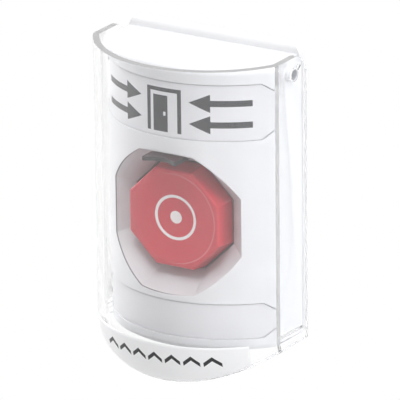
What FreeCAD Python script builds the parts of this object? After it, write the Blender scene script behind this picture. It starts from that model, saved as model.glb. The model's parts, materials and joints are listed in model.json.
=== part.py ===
"""Covered emergency push button for a wall box, as a parametric document.

Frame: +Z up, +Y into the wall, millimetres. The origin is on the wall face, midway between the
two screws that hold the back plate to the wall box, so the whole part lies at negative Y.
"""
import FreeCAD, Part
import math
import os
import re
import Sketcher

V = FreeCAD.Vector
Rotation = FreeCAD.Rotation

doc = FreeCAD.newDocument("covered_push_button")
sheet = doc.addObject("Spreadsheet::Sheet", "sizes")

# Driving dimensions: alias, value, meaning. Depths are measured out from the wall face.
SIZES = [
    ("housing_half_width", 38.25, "centre line to the housing's side face"),
    ("housing_wall", 2.4, "wall of the housing"),
    ("housing_front", 40.3, "depth of the housing's foremost line"),
    ("housing_bow", 19.5, "how far the housing's front bows out between its sides"),
    ("housing_top", 60.5, "height of the housing's top"),
    ("housing_bottom", -55.1, "height of the housing's underside"),
    ("housing_round", 2.4, "rounding of the housing's front edges, top and bottom"),
    ("core_inset", 0.4, "how far bosses stay inside the housing's outer faces"),
    ("panel_sunk", 0.8, "depth of the label panels"),
    ("panel_gap", 0.35, "clearance of a card in its panel"),
    ("adhesive", 0.05, "adhesive behind the message cards and the lift label"),
    ("panel_cut", 3.6, "cut corners of the label panels"),
    ("upper_panel_drop", 6.0, "housing's top to the upper panel"),
    ("upper_panel_height", 22.9, "height of the upper label panel"),
    ("lower_panel_rise", 5.0, "housing's underside to the lower panel"),
    ("lower_panel_height", 14.7, "height of the lower label panel"),
    ("card", 0.4, "thickness of the two message cards"),
    ("cover_side_gap", 1.15, "air between the housing's side and the cover"),
    ("cover_front_gap", 7.4, "air between the housing's foremost line and the cover"),
    ("cover_wall", 2.6, "wall of the clear cover"),
    ("cover_bow", 26.05, "how far the cover's front bows out between its sides"),
    ("cover_rise", 1.9, "cover's rim above the housing's top"),
    ("cover_foot", 0.7, "cover's side walls below the housing's underside"),
    ("cover_back", 3.0, "air between the wall and the cover's rear edges"),
    ("chin_drop", 12.2, "how far the lifting lip hangs below the side walls"),
    ("chin_curl", 5.9, "how far the lip curls back towards the wall"),
    ("chin_rise", 6.8, "start of the curl above the side walls' lower edge"),
    ("ear_radius", 8.9, "rounded upper rear corners of the cover"),
    ("pin_below_rim", 7.2, "hinge axis below the cover's rim"),
    ("pin_radius", 2.6, "hinge pin"),
    ("pin_gap", 0.06, "running clearance of the cover on a hinge pin"),
    ("pin_grip", 6.0, "length of a hinge pin held in the housing"),
    ("pin_sunk", 0.1, "how far a pin's end lies inside the cover's side face"),
    ("pin_bevel", 0.15, "bevel on a hinge pin's end"),
    ("pin_hollow", 2.1, "radius of the hollow in a hinge pin's outer end"),
    ("pin_hollow_depth", 5.0, "depth of that hollow"),
    ("pin_boss_wall", 2.0, "wall of the boss around a hinge pin"),
    ("slit_width", 0.7, "snap-in slit beside each hinge hole"),
    ("slit_length", 2.6, "snap-in slit, outwards from the hole's edge"),
    ("slit_angle", 33.0, "snap-in slit above the horizontal, in degrees"),
    ("label_margin", 7.5, "cover's side face to the end of the lift label"),
    ("label_drop", 1.5, "start of the lip's curl to the lift label's upper edge"),
    ("label_edge", 1.2, "bare margin between the lift label and the lip's lower edge"),
    ("film", 0.25, "thickness of the printed lift label"),
    ("button_height", -4.0, "height of the button's axis"),
    ("cap_length", 9.2, "button's front face to its rear edge"),
    ("cap_back_flats", 42.4, "button across flats at the back"),
    ("cap_draft", 2.5, "how much narrower the button is at the front"),
    ("cap_round", 1.0, "rounding of the button's front edges"),
    ("cap_wall", 2.2, "wall of the button's skirt"),
    ("cap_web", 1.9, "wall between the dish and the button's inside"),
    ("dish_margin", 1.55, "flat left between the dish and the button's front edges"),
    ("dish_sunk", 1.9, "depth of the dish"),
    ("travel", 4.0, "travel of the button"),
    ("travel_spare", 1.2, "air left behind the button's rear edge when it is pressed home"),
    ("floor_ahead", 0.8, "recess floor in front of the button's rear edge"),
    ("floor_gap", 0.8, "recess floor outside the button's flats"),
    ("flare", 6.5, "how far the recess opens out on each side towards the front"),
    ("hole_gap", 0.65, "air between the button's corners and the hole in the recess floor"),
    ("recess_wall", 2.2, "wall of the recess funnel"),
    ("hub_wall", 2.2, "wall of the hub around the stem"),
    ("hub_length", 4.8, "length of the hub"),
    ("leg_radius", 2.2, "legs that press the contact plungers"),
    ("stem_radius", 4.0, "button stem"),
    ("stem_gap", 0.06, "running clearance of the stem in its guide"),
    ("stem_bevel", 0.5, "bevel on the stem's rear end"),
    ("stem_tail", 1.6, "stem left behind the clip"),
    ("clip_thickness", 0.8, "retaining clip"),
    ("clip_width", 3.1, "width of the retaining clip's ring"),
    ("clip_groove", 1.1, "depth of the clip's groove in the stem"),
    ("clip_lip", 0.4, "how much narrower the clip's mouth is than its eye, each side"),
    ("spring_slack", 0.65, "air between the hub and the return spring"),
    ("spring_wire", 1.1, "wire of the return spring"),
    ("spring_turns", 4.5, "turns of the return spring"),
    ("spring_seat", 0.1, "air at each end of the return spring"),
    ("carrier_thickness", 2.5, "plate of the switch carrier"),
    ("carrier_side_gap", 1.85, "air between the carrier and the housing's sides"),
    ("carrier_half_height", 29.0, "half height of the switch carrier"),
    ("carrier_screw_inset", 4.2, "carrier screws in from the carrier's edges"),
    ("guide_wall", 2.54, "wall of the stem's guide sleeve"),
    ("guide_length", 6.0, "guide sleeve behind the carrier's plate"),
    ("boss_wall", 1.7, "wall of the screw bosses inside the housing"),
    ("screw_radius", 1.5, "shank of the carrier and housing screws"),
    ("screw_head", 1.3, "how far those screws' heads overhang their shanks"),
    ("screw_head_height", 1.8, "head height of every screw"),
    ("head_bevel", 0.6, "bevel on a screw's head"),
    ("screw_bite", 5.5, "length of a carrier screw in its boss"),
    ("bore_spare", 0.5, "screw hole deeper than its screw"),
    ("screw_hole_gap", 0.15, "clearance of a screw in the piece that it holds"),
    ("block_gap", 1.4, "air between the guide sleeve and a contact block"),
    ("block_half_width", 5.0, "half width of a contact block"),
    ("block_half_height", 20.0, "half height of a contact block"),
    ("block_spare", 8.6, "length of a contact block beyond the button's travel"),
    ("block_wall", 1.2, "wall of a contact block"),
    ("block_plate_gap", 1.2, "air between a contact block and the back plate's front"),
    ("shelf_length", 7.4, "length of a terminal's shelf at each end of a block"),
    ("chamber_end", 1.4, "wall between a block's chamber and its shelf"),
    ("plunger_half", 2.6, "half width of a square contact plunger"),
    ("plunger_stand", 0.5, "plungers' tips in front of the carrier"),
    ("plunger_spare", 0.4, "air behind a plunger when it is pressed home"),
    ("plunger_gap", 0.15, "clearance of a plunger in its block"),
    ("window_gap", 0.6, "clearance of a plunger in the carrier's window"),
    ("plunger_cheek", 0.8, "plunger's wall beside its bridge"),
    ("bridge_half_height", 9.0, "half length of a contact bridge"),
    ("brass", 0.8, "thickness of the bridges and terminals"),
    ("contact_gap", 0.15, "gap left at a closed contact"),
    ("strip_gap", 0.65, "air behind a normally open terminal's inner end"),
    ("terminal_lap", 4.0, "how far a bridge laps over a terminal"),
    ("terminal_half_width", 2.4, "half width of a terminal"),
    ("terminal_end", 0.4, "terminal's outer end inside its block"),
    ("terminal_slot_gap", 0.1, "clearance of a terminal in its slot"),
    ("terminal_screw_inset", 3.0, "terminal screw in from the block's end"),
    ("terminal_screw_radius", 1.2, "shank of a terminal screw"),
    ("terminal_screw_bite", 2.8, "length of a terminal screw in its block"),
    ("terminal_head", 0.9, "how far a terminal screw's head overhangs its shank"),
    ("hook_gap", 0.1, "play of a contact block between its snap hooks"),
    ("hook_thickness", 1.5, "snap hooks that hold the contact blocks"),
    ("hook_half_height", 4.0, "half height of a snap hook"),
    ("hook_nose", 0.9, "reach and depth of a snap hook's nose"),
    ("plate_thickness", 3.2, "back plate"),
    ("plate_side", 0.55, "back plate beyond the housing's sides"),
    ("plate_rise", 3.8, "back plate above the housing's top"),
    ("plate_round", 4.5, "corner radius of the back plate"),
    ("plate_brow", 2.4, "rounding of the back plate's upper front edge"),
    ("wire_half_width", 21.0, "half width of the wire opening"),
    ("wire_top", 22.0, "top of the wire opening"),
    ("wire_bottom", -30.0, "bottom of the wire opening"),
    ("wire_round", 3.0, "corner radius of the wire opening"),
    ("box_screw_pitch", 83.3, "distance between the wall-box screws"),
    ("box_screw_hole", 2.1, "radius of a wall-box screw's hole"),
    ("lug_across", 22.0, "housing screws, from the centre line"),
    ("lug_half_width", 5.0, "half width of a screw lug on the back plate"),
    ("lug_reach", 10.0, "length of a screw lug"),
    ("lug_height", 4.5, "height of a screw lug"),
    ("latch_across", 16.0, "top latches, from the centre line"),
    ("latch_half_width", 4.0, "half width of a top latch"),
    ("latch_arm", 2.0, "thickness of a top latch"),
    ("latch_gap", 0.2, "play of the latches around the housing's rib"),
    ("rib_set_off", 1.4, "latch rib in front of the back plate"),
    ("rib_thickness", 1.8, "thickness of the latch rib"),
    ("rib_height", 3.0, "height of the latch rib below the housing's top wall"),
    ("rib_spare", 2.0, "latch rib beyond the latches on each side"),
    ("lens_half_width", 7.4, "half width of the indicator lens"),
    ("lens_drop", 1.05, "lens below the recess's top edge"),
    ("lens_thickness", 1.7, "thickness of the lens"),
    ("lens_reach", 3.3, "lens in front of the housing's foremost line"),
    ("lens_root", 3.1, "lens's rear edge in front of the recess floor"),
    ("lens_notch", 2.2, "depth of the hollow in the lens's front edge"),
    ("lens_notch_half", 6.3, "half width of that hollow"),
    ("lens_gap", 0.1, "clearance of the lens in its slot"),
    ("board_half_width", 16.0, "half width of the indicator's circuit board"),
    ("board_gap", 0.2, "air between the board and the recess sleeve"),
    ("board_height", 10.0, "height of the board"),
    ("board_thickness", 1.2, "circuit board"),
    ("board_screw_across", 12.6, "board screws, from the centre line"),
    ("board_screw_drop", 3.6, "board screws below the board's top edge"),
    ("board_screw_radius", 1.1, "shank of a board screw"),
    ("board_screw_bite", 4.5, "length of a board screw in its boss"),
    ("board_screw_head", 1.0, "how far a board screw's head overhangs its shank"),
    ("led_height", 1.2, "how far a light-emitting diode stands off the board"),
    ("led_half_width", 1.75, "half width of a light-emitting diode"),
    ("led_across", 4.0, "light-emitting diodes, from the centre line"),
    ("led_inset", 0.1, "diode's edges inside the lens's thickness"),
    ("led_gap", 0.2, "air between a diode and the lens"),
    ("over", 1.0, "how far a cutting shape runs past the face it cuts"),
    ("reach", 120.0, "half length of a cutting shape that passes right through"),
]

# Values worked out from the driving dimensions: alias, formula, meaning.
WORKED = [
    ("cover_half_width", "housing_half_width + cover_side_gap + cover_wall", "cover's side face"),
    ("cover_front", "housing_front + cover_front_gap + cover_wall", "cover's foremost line"),
    ("cover_corner", "cover_front - cover_bow", "where the cover's side meets its front"),
    ("cover_top", "housing_top + cover_rise", "height of the cover's rim"),
    ("cover_bottom", "housing_bottom - cover_foot", "side walls' lower edge"),
    ("cover_arc", "(cover_half_width ^ 2 + cover_bow ^ 2) / (2 * cover_bow)", "front's radius"),
    ("cover_axis", "cover_arc - cover_front", "Y of the front's centre line"),
    ("chin_start", "cover_bottom + chin_rise", "height where the lip starts to curl"),
    ("chin_low", "cover_bottom - chin_drop", "lowest point of the lip"),
    ("chin_run", "chin_start - chin_low", "height over which the lip curls"),
    ("chin_arc", "(chin_run ^ 2 + chin_curl ^ 2) / (2 * chin_curl)", "radius of the curl"),
    ("chin_edge_arc", "(cover_half_width ^ 2 + chin_drop ^ 2) / (2 * chin_drop)",
     "radius of the lip's lower edge, seen from the front"),
    ("pin_depth", "cover_back + ear_radius", "depth of the hinge axis"),
    ("pin_height", "cover_top - pin_below_rim", "height of the hinge axis"),
    ("housing_arc", "(housing_half_width ^ 2 + housing_bow ^ 2) / (2 * housing_bow)",
     "radius of the housing's front"),
    ("housing_axis", "housing_arc - housing_front", "Y of its centre line"),
    ("upper_panel_top", "housing_top - upper_panel_drop", "upper panel's upper edge"),
    ("upper_panel_bottom", "upper_panel_top - upper_panel_height", "upper panel's lower edge"),
    ("lower_panel_bottom", "housing_bottom + lower_panel_rise", "lower panel's lower edge"),
    ("lower_panel_top", "lower_panel_bottom + lower_panel_height", "lower panel's upper edge"),
    ("block_back", "plate_thickness + block_plate_gap", "contact blocks' rear face"),
    ("carrier_rear", "block_back + block_spare + travel", "carrier's rear face"),
    ("carrier_depth", "carrier_rear + carrier_thickness", "carrier's front face"),
    ("carrier_half_width", "housing_half_width - housing_wall - carrier_side_gap",
     "half width of the carrier"),
    ("carrier_screw_across", "carrier_half_width - carrier_screw_inset", "carrier screws"),
    ("carrier_screw_up", "carrier_half_height - carrier_screw_inset", "carrier screws"),
    ("boss_radius", "screw_radius + boss_wall", "screw bosses inside the housing"),
    ("cap_back", "carrier_depth + travel + travel_spare", "button's rear edge"),
    ("cap_front", "cap_back + cap_length", "button's front face"),
    ("cap_front_flats", "cap_back_flats - cap_draft", "button across flats at the front"),
    ("cap_inner", "cap_front - dish_sunk - cap_web", "button's inner face"),
    ("dish_radius", "cap_front_flats / 2 - dish_margin", "radius of the dish"),
    ("floor_depth", "cap_back + floor_ahead", "recess floor"),
    ("floor_flats", "cap_back_flats + 2 * floor_gap", "recess across flats at its floor"),
    ("recess_flats", "floor_flats + 2 * flare", "recess across flats, seen from the front"),
    ("button_hole", "cap_back_flats / 2 / cos(22.5 deg) + hole_gap",
     "radius of the hole in the recess floor"),
    ("hub_radius", "stem_radius + hub_wall", "hub under the button"),
    ("guide_radius", "stem_radius + stem_gap + guide_wall", "guide sleeve"),
    ("clip_depth", "carrier_rear - guide_length - clip_thickness", "clip's rear face"),
    ("clip_eye", "stem_radius - clip_groove", "stem at the clip's groove"),
    ("clip_radius", "clip_eye + clip_width", "outer radius of the clip"),
    ("spring_radius", "hub_radius + spring_slack + spring_wire / 2", "spring's mean radius"),
    ("block_across", "guide_radius + block_gap + block_half_width", "contact blocks' middles"),
    ("chamber_half_height", "block_half_height - shelf_length", "half height of a chamber"),
    ("bridge_half_width", "plunger_half - plunger_cheek", "half width of a bridge"),
    ("bridge_front", "block_back + block_wall + strip_gap + 2 * brass + contact_gap + travel",
     "front face of a bridge"),
    ("closed_depth", "bridge_front + contact_gap", "rear face of a normally closed terminal"),
    ("open_depth", "block_back + block_wall + strip_gap + brass",
     "front face of a normally open terminal"),
    ("terminal_inner", "bridge_half_height - terminal_lap", "inner end of a terminal"),
    ("terminal_screw_up", "block_half_height - terminal_screw_inset", "terminal screws"),
    ("plunger_tip", "carrier_depth + plunger_stand", "plungers' tips"),
    ("plunger_end", "block_back + block_wall + plunger_spare + travel", "plungers' rear ends"),
    ("plate_half_width", "housing_half_width + plate_side", "half width of the back plate"),
    ("plate_top", "housing_top + plate_rise", "back plate's top edge"),
    ("lug_low", "housing_bottom + housing_wall", "underside of the screw lugs"),
    ("lug_screw_depth", "plate_thickness + lug_reach / 2", "housing screws' axes"),
    ("rib_depth", "plate_thickness + rib_set_off + rib_thickness", "latch rib's front face"),
    ("rib_low", "housing_top - housing_wall - rib_height", "latch rib's lower edge"),
    ("lens_top", "button_height + recess_flats / 2 - lens_drop", "lens's upper face"),
    ("lens_low", "lens_top - lens_thickness", "lens's lower face"),
    ("lens_front", "housing_front + lens_reach", "lens's foremost edge"),
    ("lens_back", "floor_depth + lens_root", "lens's rear edge"),
    ("board_front", "lens_back - led_gap - led_height", "board's front face"),
    ("board_bottom", "button_height + button_hole + recess_wall + board_gap", "lower edge"),
    ("board_top", "board_bottom + board_height", "board's top edge"),
    ("board_screw_height", "board_top - board_screw_drop", "board screws"),
]


def fill_sheet():
    """Write the driving and the worked-out dimensions into the spreadsheet."""
    rows = [(alias, str(number), meaning) for alias, number, meaning in SIZES]
    rows += [(alias, "=" + formula, meaning) for alias, formula, meaning in WORKED]
    for row, (alias, content, meaning) in enumerate(rows, start=1):
        sheet.set(f"A{row}", meaning)
        sheet.set(f"B{row}", content)
        sheet.setAlias(f"B{row}", alias)
    doc.recompute()


ALIASES = {row[0] for row in SIZES + WORKED}


def ref(text):
    """Turn a formula on aliases into an expression on the spreadsheet."""
    def named(match):
        word = match.group()
        return "sizes." + word if word in ALIASES else word

    return re.sub(r"[a-z]\w*", named, str(text))


def value(text):
    """Work out a formula on aliases as a plain number."""
    result = sheet.evalExpression(ref(text))
    return float(getattr(result, "Value", result))


def bind(item, **formulas):
    """Tie properties of an object to formulas on the spreadsheet."""
    for name, text in formulas.items():
        item.setExpression(name, ref(text))


def place(item, x="0", y="0", z="0"):
    """Tie the position of an object to three formulas."""
    for name, text in (("x", x), ("y", y), ("z", z)):
        item.setExpression("Placement.Base." + name, ref(text))


TURN = {
    "X": Rotation(V(0, 1, 0), 90),
    "Y": Rotation(V(1, 0, 0), -90),
    "Z": Rotation(),
}
FLIP = Rotation(V(1, 0, 0), 180)

# The two sides and the two levels, each with the sign of its coordinate in a formula.
SIDES = (("left", "-"), ("right", "+"))
LEVELS = (("lower", "-"), ("upper", "+"))


def mirrored(span, sign):
    """A pair of formulas, or its mirror image where the sign is minus."""
    return span if sign == "+" else (f"- ({span[1]})", f"- ({span[0]})")


def about(centre, half):
    """A pair of formulas at equal distances from a centre."""
    return (f"{centre} - {half}", f"{centre} + {half}")


def box(name, x, y, z):
    """A block between pairs of formulas along X, Y and Z."""
    block = doc.addObject("Part::Box", name)
    bind(
        block,
        Length=f"({x[1]}) - ({x[0]})",
        Width=f"({y[1]}) - ({y[0]})",
        Height=f"({z[1]}) - ({z[0]})",
    )
    place(block, x[0], y[0], z[0])
    return block


def rod(name, axis, radius, span, x="0", y="0", z="0"):
    """A cylinder along an axis between a pair of formulas."""
    cylinder = doc.addObject("Part::Cylinder", name)
    cylinder.Placement = FreeCAD.Placement(V(), TURN[axis])
    bind(cylinder, Radius=radius, Height=f"({span[1]}) - ({span[0]})")
    at = {"X": (span[0], y, z), "Y": (x, span[0], z), "Z": (x, y, span[0])}[axis]
    place(cylinder, *at)
    return cylinder


def fuse(name, *shapes):
    """Join several objects."""
    joined = doc.addObject("Part::MultiFuse", name)
    joined.Shapes = list(shapes)
    return joined


def cut(name, base, *tools):
    """Cut one or more objects from a base."""
    result = doc.addObject("Part::Cut", name)
    result.Base = base
    result.Tool = tools[0] if len(tools) == 1 else fuse(name + "_tools", *tools)
    return result


def common(name, *shapes):
    """Keep what several objects share."""
    shared = doc.addObject("Part::MultiCommon", name)
    shared.Shapes = list(shapes)
    return shared


def group(name, pieces):
    """Several separate solids that share one node."""
    compound = doc.addObject("Part::Compound", name)
    compound.Links = pieces
    return compound


def plane_of(body, role):
    """Find one of a body's origin planes."""
    return next(f for f in body.Origin.OriginFeatures if f.Role == role)


def arc_middle(start, end, radius):
    """Find the middle of an arc: a positive radius bulges to the right of start to end."""
    chord = end - start
    half = chord.Length / 2
    rise = abs(radius) - math.sqrt(max(radius * radius - half * half, 0))
    side = V(chord.y, -chord.x, 0).normalize()
    return (start + end) * 0.5 + side * math.copysign(rise, radius)


def outline(body, role, corners):
    """Draw a closed outline on an origin plane of a body.

    Each corner is two formulas, and a third one gives the radius of an arc to the next corner,
    which bulges to the right of the way that the outline is drawn.
    """
    sketch = body.newObject("Sketcher::SketchObject", body.Name + "_outline")
    sketch.AttachmentSupport = [(plane_of(body, role), "")]
    sketch.MapMode = "FlatFace"
    points = [V(value(corner[0]), value(corner[1]), 0) for corner in corners]
    edges = []
    for number, corner in enumerate(corners):
        start, end = points[number], points[(number + 1) % len(points)]
        if len(corner) == 2:
            edges.append(sketch.addGeometry(Part.LineSegment(start, end)))
            continue
        radius = value(corner[2])
        arc = Part.Arc(start, arc_middle(start, end, radius), end)
        edges.append(sketch.addGeometry(arc))
        rule = sketch.addConstraint(Sketcher.Constraint("Radius", edges[-1], radius))
        sketch.setExpression(f"Constraints[{rule}]", ref(corner[2]))
    for number, corner in enumerate(corners):
        following = edges[(number + 1) % len(edges)]
        sketch.addConstraint(Sketcher.Constraint("Coincident", edges[number], 2, following, 1))
        for kind, text in (("DistanceX", corner[0]), ("DistanceY", corner[1])):
            rule = Sketcher.Constraint(kind, -1, 1, edges[number], 1, value(text))
            sketch.setExpression(f"Constraints[{sketch.addConstraint(rule)}]", ref(text))
    return sketch


def prism(name, corners, span, x="0", z="0"):
    """A body padded from an outline on the XZ plane, between a pair of formulas along Y."""
    body = doc.addObject("PartDesign::Body", name)
    sketch = outline(body, "XZ_Plane", corners)
    pad = body.newObject("PartDesign::Pad", name + "_pad")
    pad.Profile = sketch
    bind(pad, Length=f"({span[1]}) - ({span[0]})")
    place(body, x, span[1], z)
    return body


def turned(name, corners, role="YZ_Plane", axis="V_Axis", x="0", y="0", z="0"):
    """A body turned from an outline about an axis of its plane: V_Axis is Z, H_Axis Y or X."""
    body = doc.addObject("PartDesign::Body", name)
    sketch = outline(body, role, corners)
    revolution = body.newObject("PartDesign::Revolution", name + "_turn")
    revolution.Profile = sketch
    revolution.ReferenceAxis = (sketch, [axis])
    revolution.Angle = 360.0
    place(body, x, y, z)
    return body


def rounded(across, up, radius):
    """The corners of a rectangle with rounded corners, from two pairs of formulas."""
    (left, right), (low, high) = across, up
    return [
        (f"{left} + {radius}", low),
        (f"{right} - {radius}", low, radius),
        (right, f"{low} + {radius}"),
        (right, f"{high} - {radius}", radius),
        (f"{right} - {radius}", high),
        (f"{left} + {radius}", high, radius),
        (left, f"{high} - {radius}"),
        (left, f"{low} + {radius}", radius),
    ]


def screw(name, shank, overhang, length, x, y, z):
    """A pan-head screw along Y: its head sits on the point given and its shank points out."""
    head = f"({shank} + {overhang})"
    corners = [
        (f"- ({length})", "0"),
        ("screw_head_height", "0"),
        ("screw_head_height", f"{head} - head_bevel"),
        ("screw_head_height - head_bevel", head),
        ("0", head),
        ("0", shank),
        (f"- ({length})", shank),
    ]
    return turned(name, corners, axis="H_Axis", x=x, y=y, z=z)


def front_bow(name, inset):
    """The housing's bowed front as a turned solid with rounded ends, set in by a margin."""
    radius = f"(housing_arc - {inset})"
    top = f"(housing_top - {inset})"
    bottom = f"(housing_bottom + {inset})"
    corners = [
        ("0", bottom),
        (f"{radius} - housing_round", bottom, "housing_round"),
        (radius, f"{bottom} + housing_round"),
        (radius, f"{top} - housing_round", "housing_round"),
        (f"{radius} - housing_round", top),
        ("0", top),
    ]
    return turned(name, corners, y="housing_axis")


def housing_envelope(name, inset):
    """The housing's outer form, set in by a margin on all faces but the rear one."""
    block = box(
        name + "_block",
        about("0", f"(housing_half_width - {inset})"),
        ("- housing_front - over", "- plate_thickness"),
        ("housing_bottom - over", "housing_top + over"),
    )
    return common(name, front_bow(name + "_bow", inset), block)


def octagon(half_flats):
    """Corners of a regular octagon that stands on a flat."""
    half_side = half_flats * math.tan(math.radians(22.5))
    quarter = [(half_flats, half_side), (half_side, half_flats)]
    points = quarter + [(-x, z) for x, z in reversed(quarter)]
    return points + [(-x, -z) for x, z in points]


def funnel(name, wall):
    """The octagonal recess as a solid, from beyond the housing's front to the recess floor.

    Each corner line runs from the floor octagon through the corner of the outline where that
    meets the housing's bowed front, so the four slanting walls are gently twisted.
    """
    floor_y = -value("floor_depth")
    mouth_y = -value("housing_front + cover_front_gap")
    arc = value("housing_arc")
    floor = octagon(value("floor_flats") / 2 + wall)
    mouth = []
    for (x, z), (floor_x, floor_z) in zip(octagon(value("recess_flats") / 2 + wall), floor):
        outline_y = value("housing_axis") - math.sqrt(arc * arc - x * x)
        stretch = (mouth_y - floor_y) / (outline_y - floor_y)
        mouth.append((floor_x + (x - floor_x) * stretch, floor_z + (z - floor_z) * stretch))
    rings = [
        Part.makePolygon([V(x, depth, z) for x, z in ring + ring[:1]])
        for ring, depth in ((mouth, mouth_y), (floor, floor_y))
    ]
    feature = doc.addObject("Part::Feature", name)
    feature.Shape = Part.makeLoft(rings, True, True)
    place(feature, z="button_height")
    return feature


def panel_prism(name, panel, gap, past="0"):
    """The cut-cornered block of a label panel, less a gap all round, its ends run on by past."""
    right = f"(housing_half_width - {gap} + {past})"
    top = f"({panel}_panel_top - {gap})"
    bottom = f"({panel}_panel_bottom + {gap})"
    slant = f"(panel_cut + {past})"
    corners = [
        (f"- {right} + {slant}", bottom),
        (f"{right} - {slant}", bottom),
        (right, f"{bottom} + {slant}"),
        (right, f"{top} - {slant}"),
        (f"{right} - {slant}", top),
        (f"- {right} + {slant}", top),
        (f"- {right}", f"{top} - {slant}"),
        (f"- {right}", f"{bottom} + {slant}"),
    ]
    return prism(name, corners, ("- housing_front - over", "- plate_thickness"))


def bed(name, rise):
    """The drum whose front is the floor of the label panels, raised by a film or a card."""
    radius = f"housing_arc - panel_sunk + {rise}"
    return rod(name, "Z", radius, about("0", "reach"), y="housing_axis")


def carrier_spots():
    """Where the four carrier screws stand: name, X and Z."""
    for side, across in SIDES:
        for level, up in LEVELS:
            x = f"{across} carrier_screw_across"
            yield f"{level}_{side}", x, f"button_height {up} carrier_screw_up"


def housing_shell():
    """The housing's walls: its envelope without the hollow behind the front."""
    hollow = common(
        "housing_hollow",
        rod("hollow_bow", "Z", "housing_arc - housing_wall",
            ("housing_bottom + housing_wall", "housing_top - housing_wall"), y="housing_axis"),
        box("hollow_block", about("0", "(housing_half_width - housing_wall)"),
            ("- housing_front", "0"), ("housing_bottom", "housing_top")),
    )
    return cut("housing_shell", housing_envelope("housing_envelope", "0"), hollow)


def housing_insides():
    """What stands inside the housing: recess funnel, sleeve, latch rib and bosses."""
    pieces = [
        funnel("recess_outer", value("recess_wall")),
        rod("recess_sleeve", "Y", "button_hole + recess_wall",
            ("- floor_depth - 2 * recess_wall", "- carrier_depth"), z="button_height"),
        box("latch_rib", about("0", "(latch_across + latch_half_width + rib_spare)"),
            ("- rib_depth", "- rib_depth + rib_thickness"), ("rib_low", "housing_top")),
    ]
    for spot, x, z in carrier_spots():
        pieces.append(
            rod("boss_" + spot, "Y", "boss_radius", ("- housing_front", "- carrier_depth"),
                x=x, z=z)
        )
    for side, sign in SIDES:
        pieces.append(
            rod("board_boss_" + side, "Y", "board_screw_radius + boss_wall",
                ("- housing_front", "- board_front"), x=f"{sign} board_screw_across",
                z="board_screw_height")
        )
        span = mirrored(("housing_half_width - pin_grip - over", "housing_half_width"), sign)
        pieces.append(
            rod("pin_boss_" + side, "X", "pin_radius + pin_boss_wall", span, y="- pin_depth",
                z="pin_height")
        )
    core = housing_envelope("housing_core", "core_inset")
    return common("housing_insides", core, fuse("housing_bosses", *pieces))


def housing_bores():
    """The holes for the housing's own screws and hinge pins."""
    bores = []
    for spot, x, z in carrier_spots():
        span = ("- carrier_depth - screw_bite - bore_spare", "- carrier_depth + over")
        bores.append(rod("bore_" + spot, "Y", "screw_radius", span, x=x, z=z))
    for side, sign in SIDES:
        span = ("- board_front - board_screw_bite - bore_spare", "- board_front + over")
        bores.append(
            rod("board_bore_" + side, "Y", "board_screw_radius", span,
                x=f"{sign} board_screw_across", z="board_screw_height")
        )
        span = mirrored(("housing_half_width - pin_grip", "housing_half_width + over"), sign)
        bores.append(
            rod("pin_bore_" + side, "X", "pin_radius", span, y="- pin_depth", z="pin_height")
        )
        bores.append(
            rod("foot_bore_" + side, "Z", "screw_radius + screw_hole_gap",
                ("housing_bottom - over", "lug_low + over"), x=f"{sign} lug_across",
                y="- lug_screw_depth")
        )
    return bores


def make_housing():
    """The white housing: bowed shell, octagonal recess, bosses, latch rib and label panels."""
    solid = fuse("housing_solid", housing_shell(), housing_insides())
    recess = funnel("recess_inner", 0.0)
    hole = taper("button_bore", ("floor_flats", "floor_depth + over"),
                 ("floor_flats", "carrier_depth - over"))
    lens_slot = box(
        "lens_slot",
        about("0", "(lens_half_width + lens_gap)"),
        ("- lens_front", "- lens_back + over"),
        ("lens_low - lens_gap", "lens_top + lens_gap"),
    )
    panels = [
        cut(panel + "_panel", panel_prism(panel + "_panel_block", panel, "0", "over"),
            bed(panel + "_panel_bed", "0"))
        for panel in ("upper", "lower")
    ]
    return cut("housing", solid, recess, hole, lens_slot, *panels, *housing_bores())


def make_card(panel):
    """A message card that lies in its panel."""
    face = rod(panel + "_card_face", "Z", "housing_arc - panel_sunk + adhesive + card",
               ("- reach + over", "reach - over"), y="housing_axis")
    skin = cut(panel + "_card_skin", face, bed(panel + "_card_bed", "adhesive"))
    return common(panel + "_card", skin, panel_prism(panel + "_card_block", panel, "panel_gap"))


def cover_bow(name, inset, top, low):
    """The cover's bowed front with its curled lip, set in by a wall, from low to top."""
    radius = f"(chin_arc - {inset})"
    foot = f"cover_arc - chin_arc + sqrt({radius} ^ 2 - (chin_start - ({low})) ^ 2)"
    corners = [
        ("0", low),
        (foot, low, radius),
        (f"cover_arc - {inset}", "chin_start"),
        (f"cover_arc - {inset}", top),
        ("0", top),
    ]
    return turned(name, corners, y="cover_axis")


def lip_edge(name, lift):
    """The body, rounded below, whose underside trims the lip to its drooping lower edge."""
    drum = rod(name + "_drum", "Y", f"chin_edge_arc - {lift}", about("0", "reach"),
               z="chin_low + chin_edge_arc")
    above = box(name + "_above", about("0", f"(chin_edge_arc - {lift})"), about("0", "reach"),
                ("chin_low + chin_edge_arc", "reach"))
    return fuse(name, drum, above)


def snap_slit():
    """The slanting slit beside each hinge hole."""
    slit = doc.addObject("Part::Box", "snap_slit")
    slit.Placement = FreeCAD.Placement(V(), Rotation(V(1, 0, 0), value("slit_angle")))
    bind(slit, Length="2 * reach", Width="pin_radius + pin_gap + slit_length",
         Height="slit_width")
    place(
        slit,
        "- reach",
        "- pin_depth + slit_width / 2 * sin(slit_angle * 1 deg)",
        "pin_height - slit_width / 2 * cos(slit_angle * 1 deg)",
    )
    return slit


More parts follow.
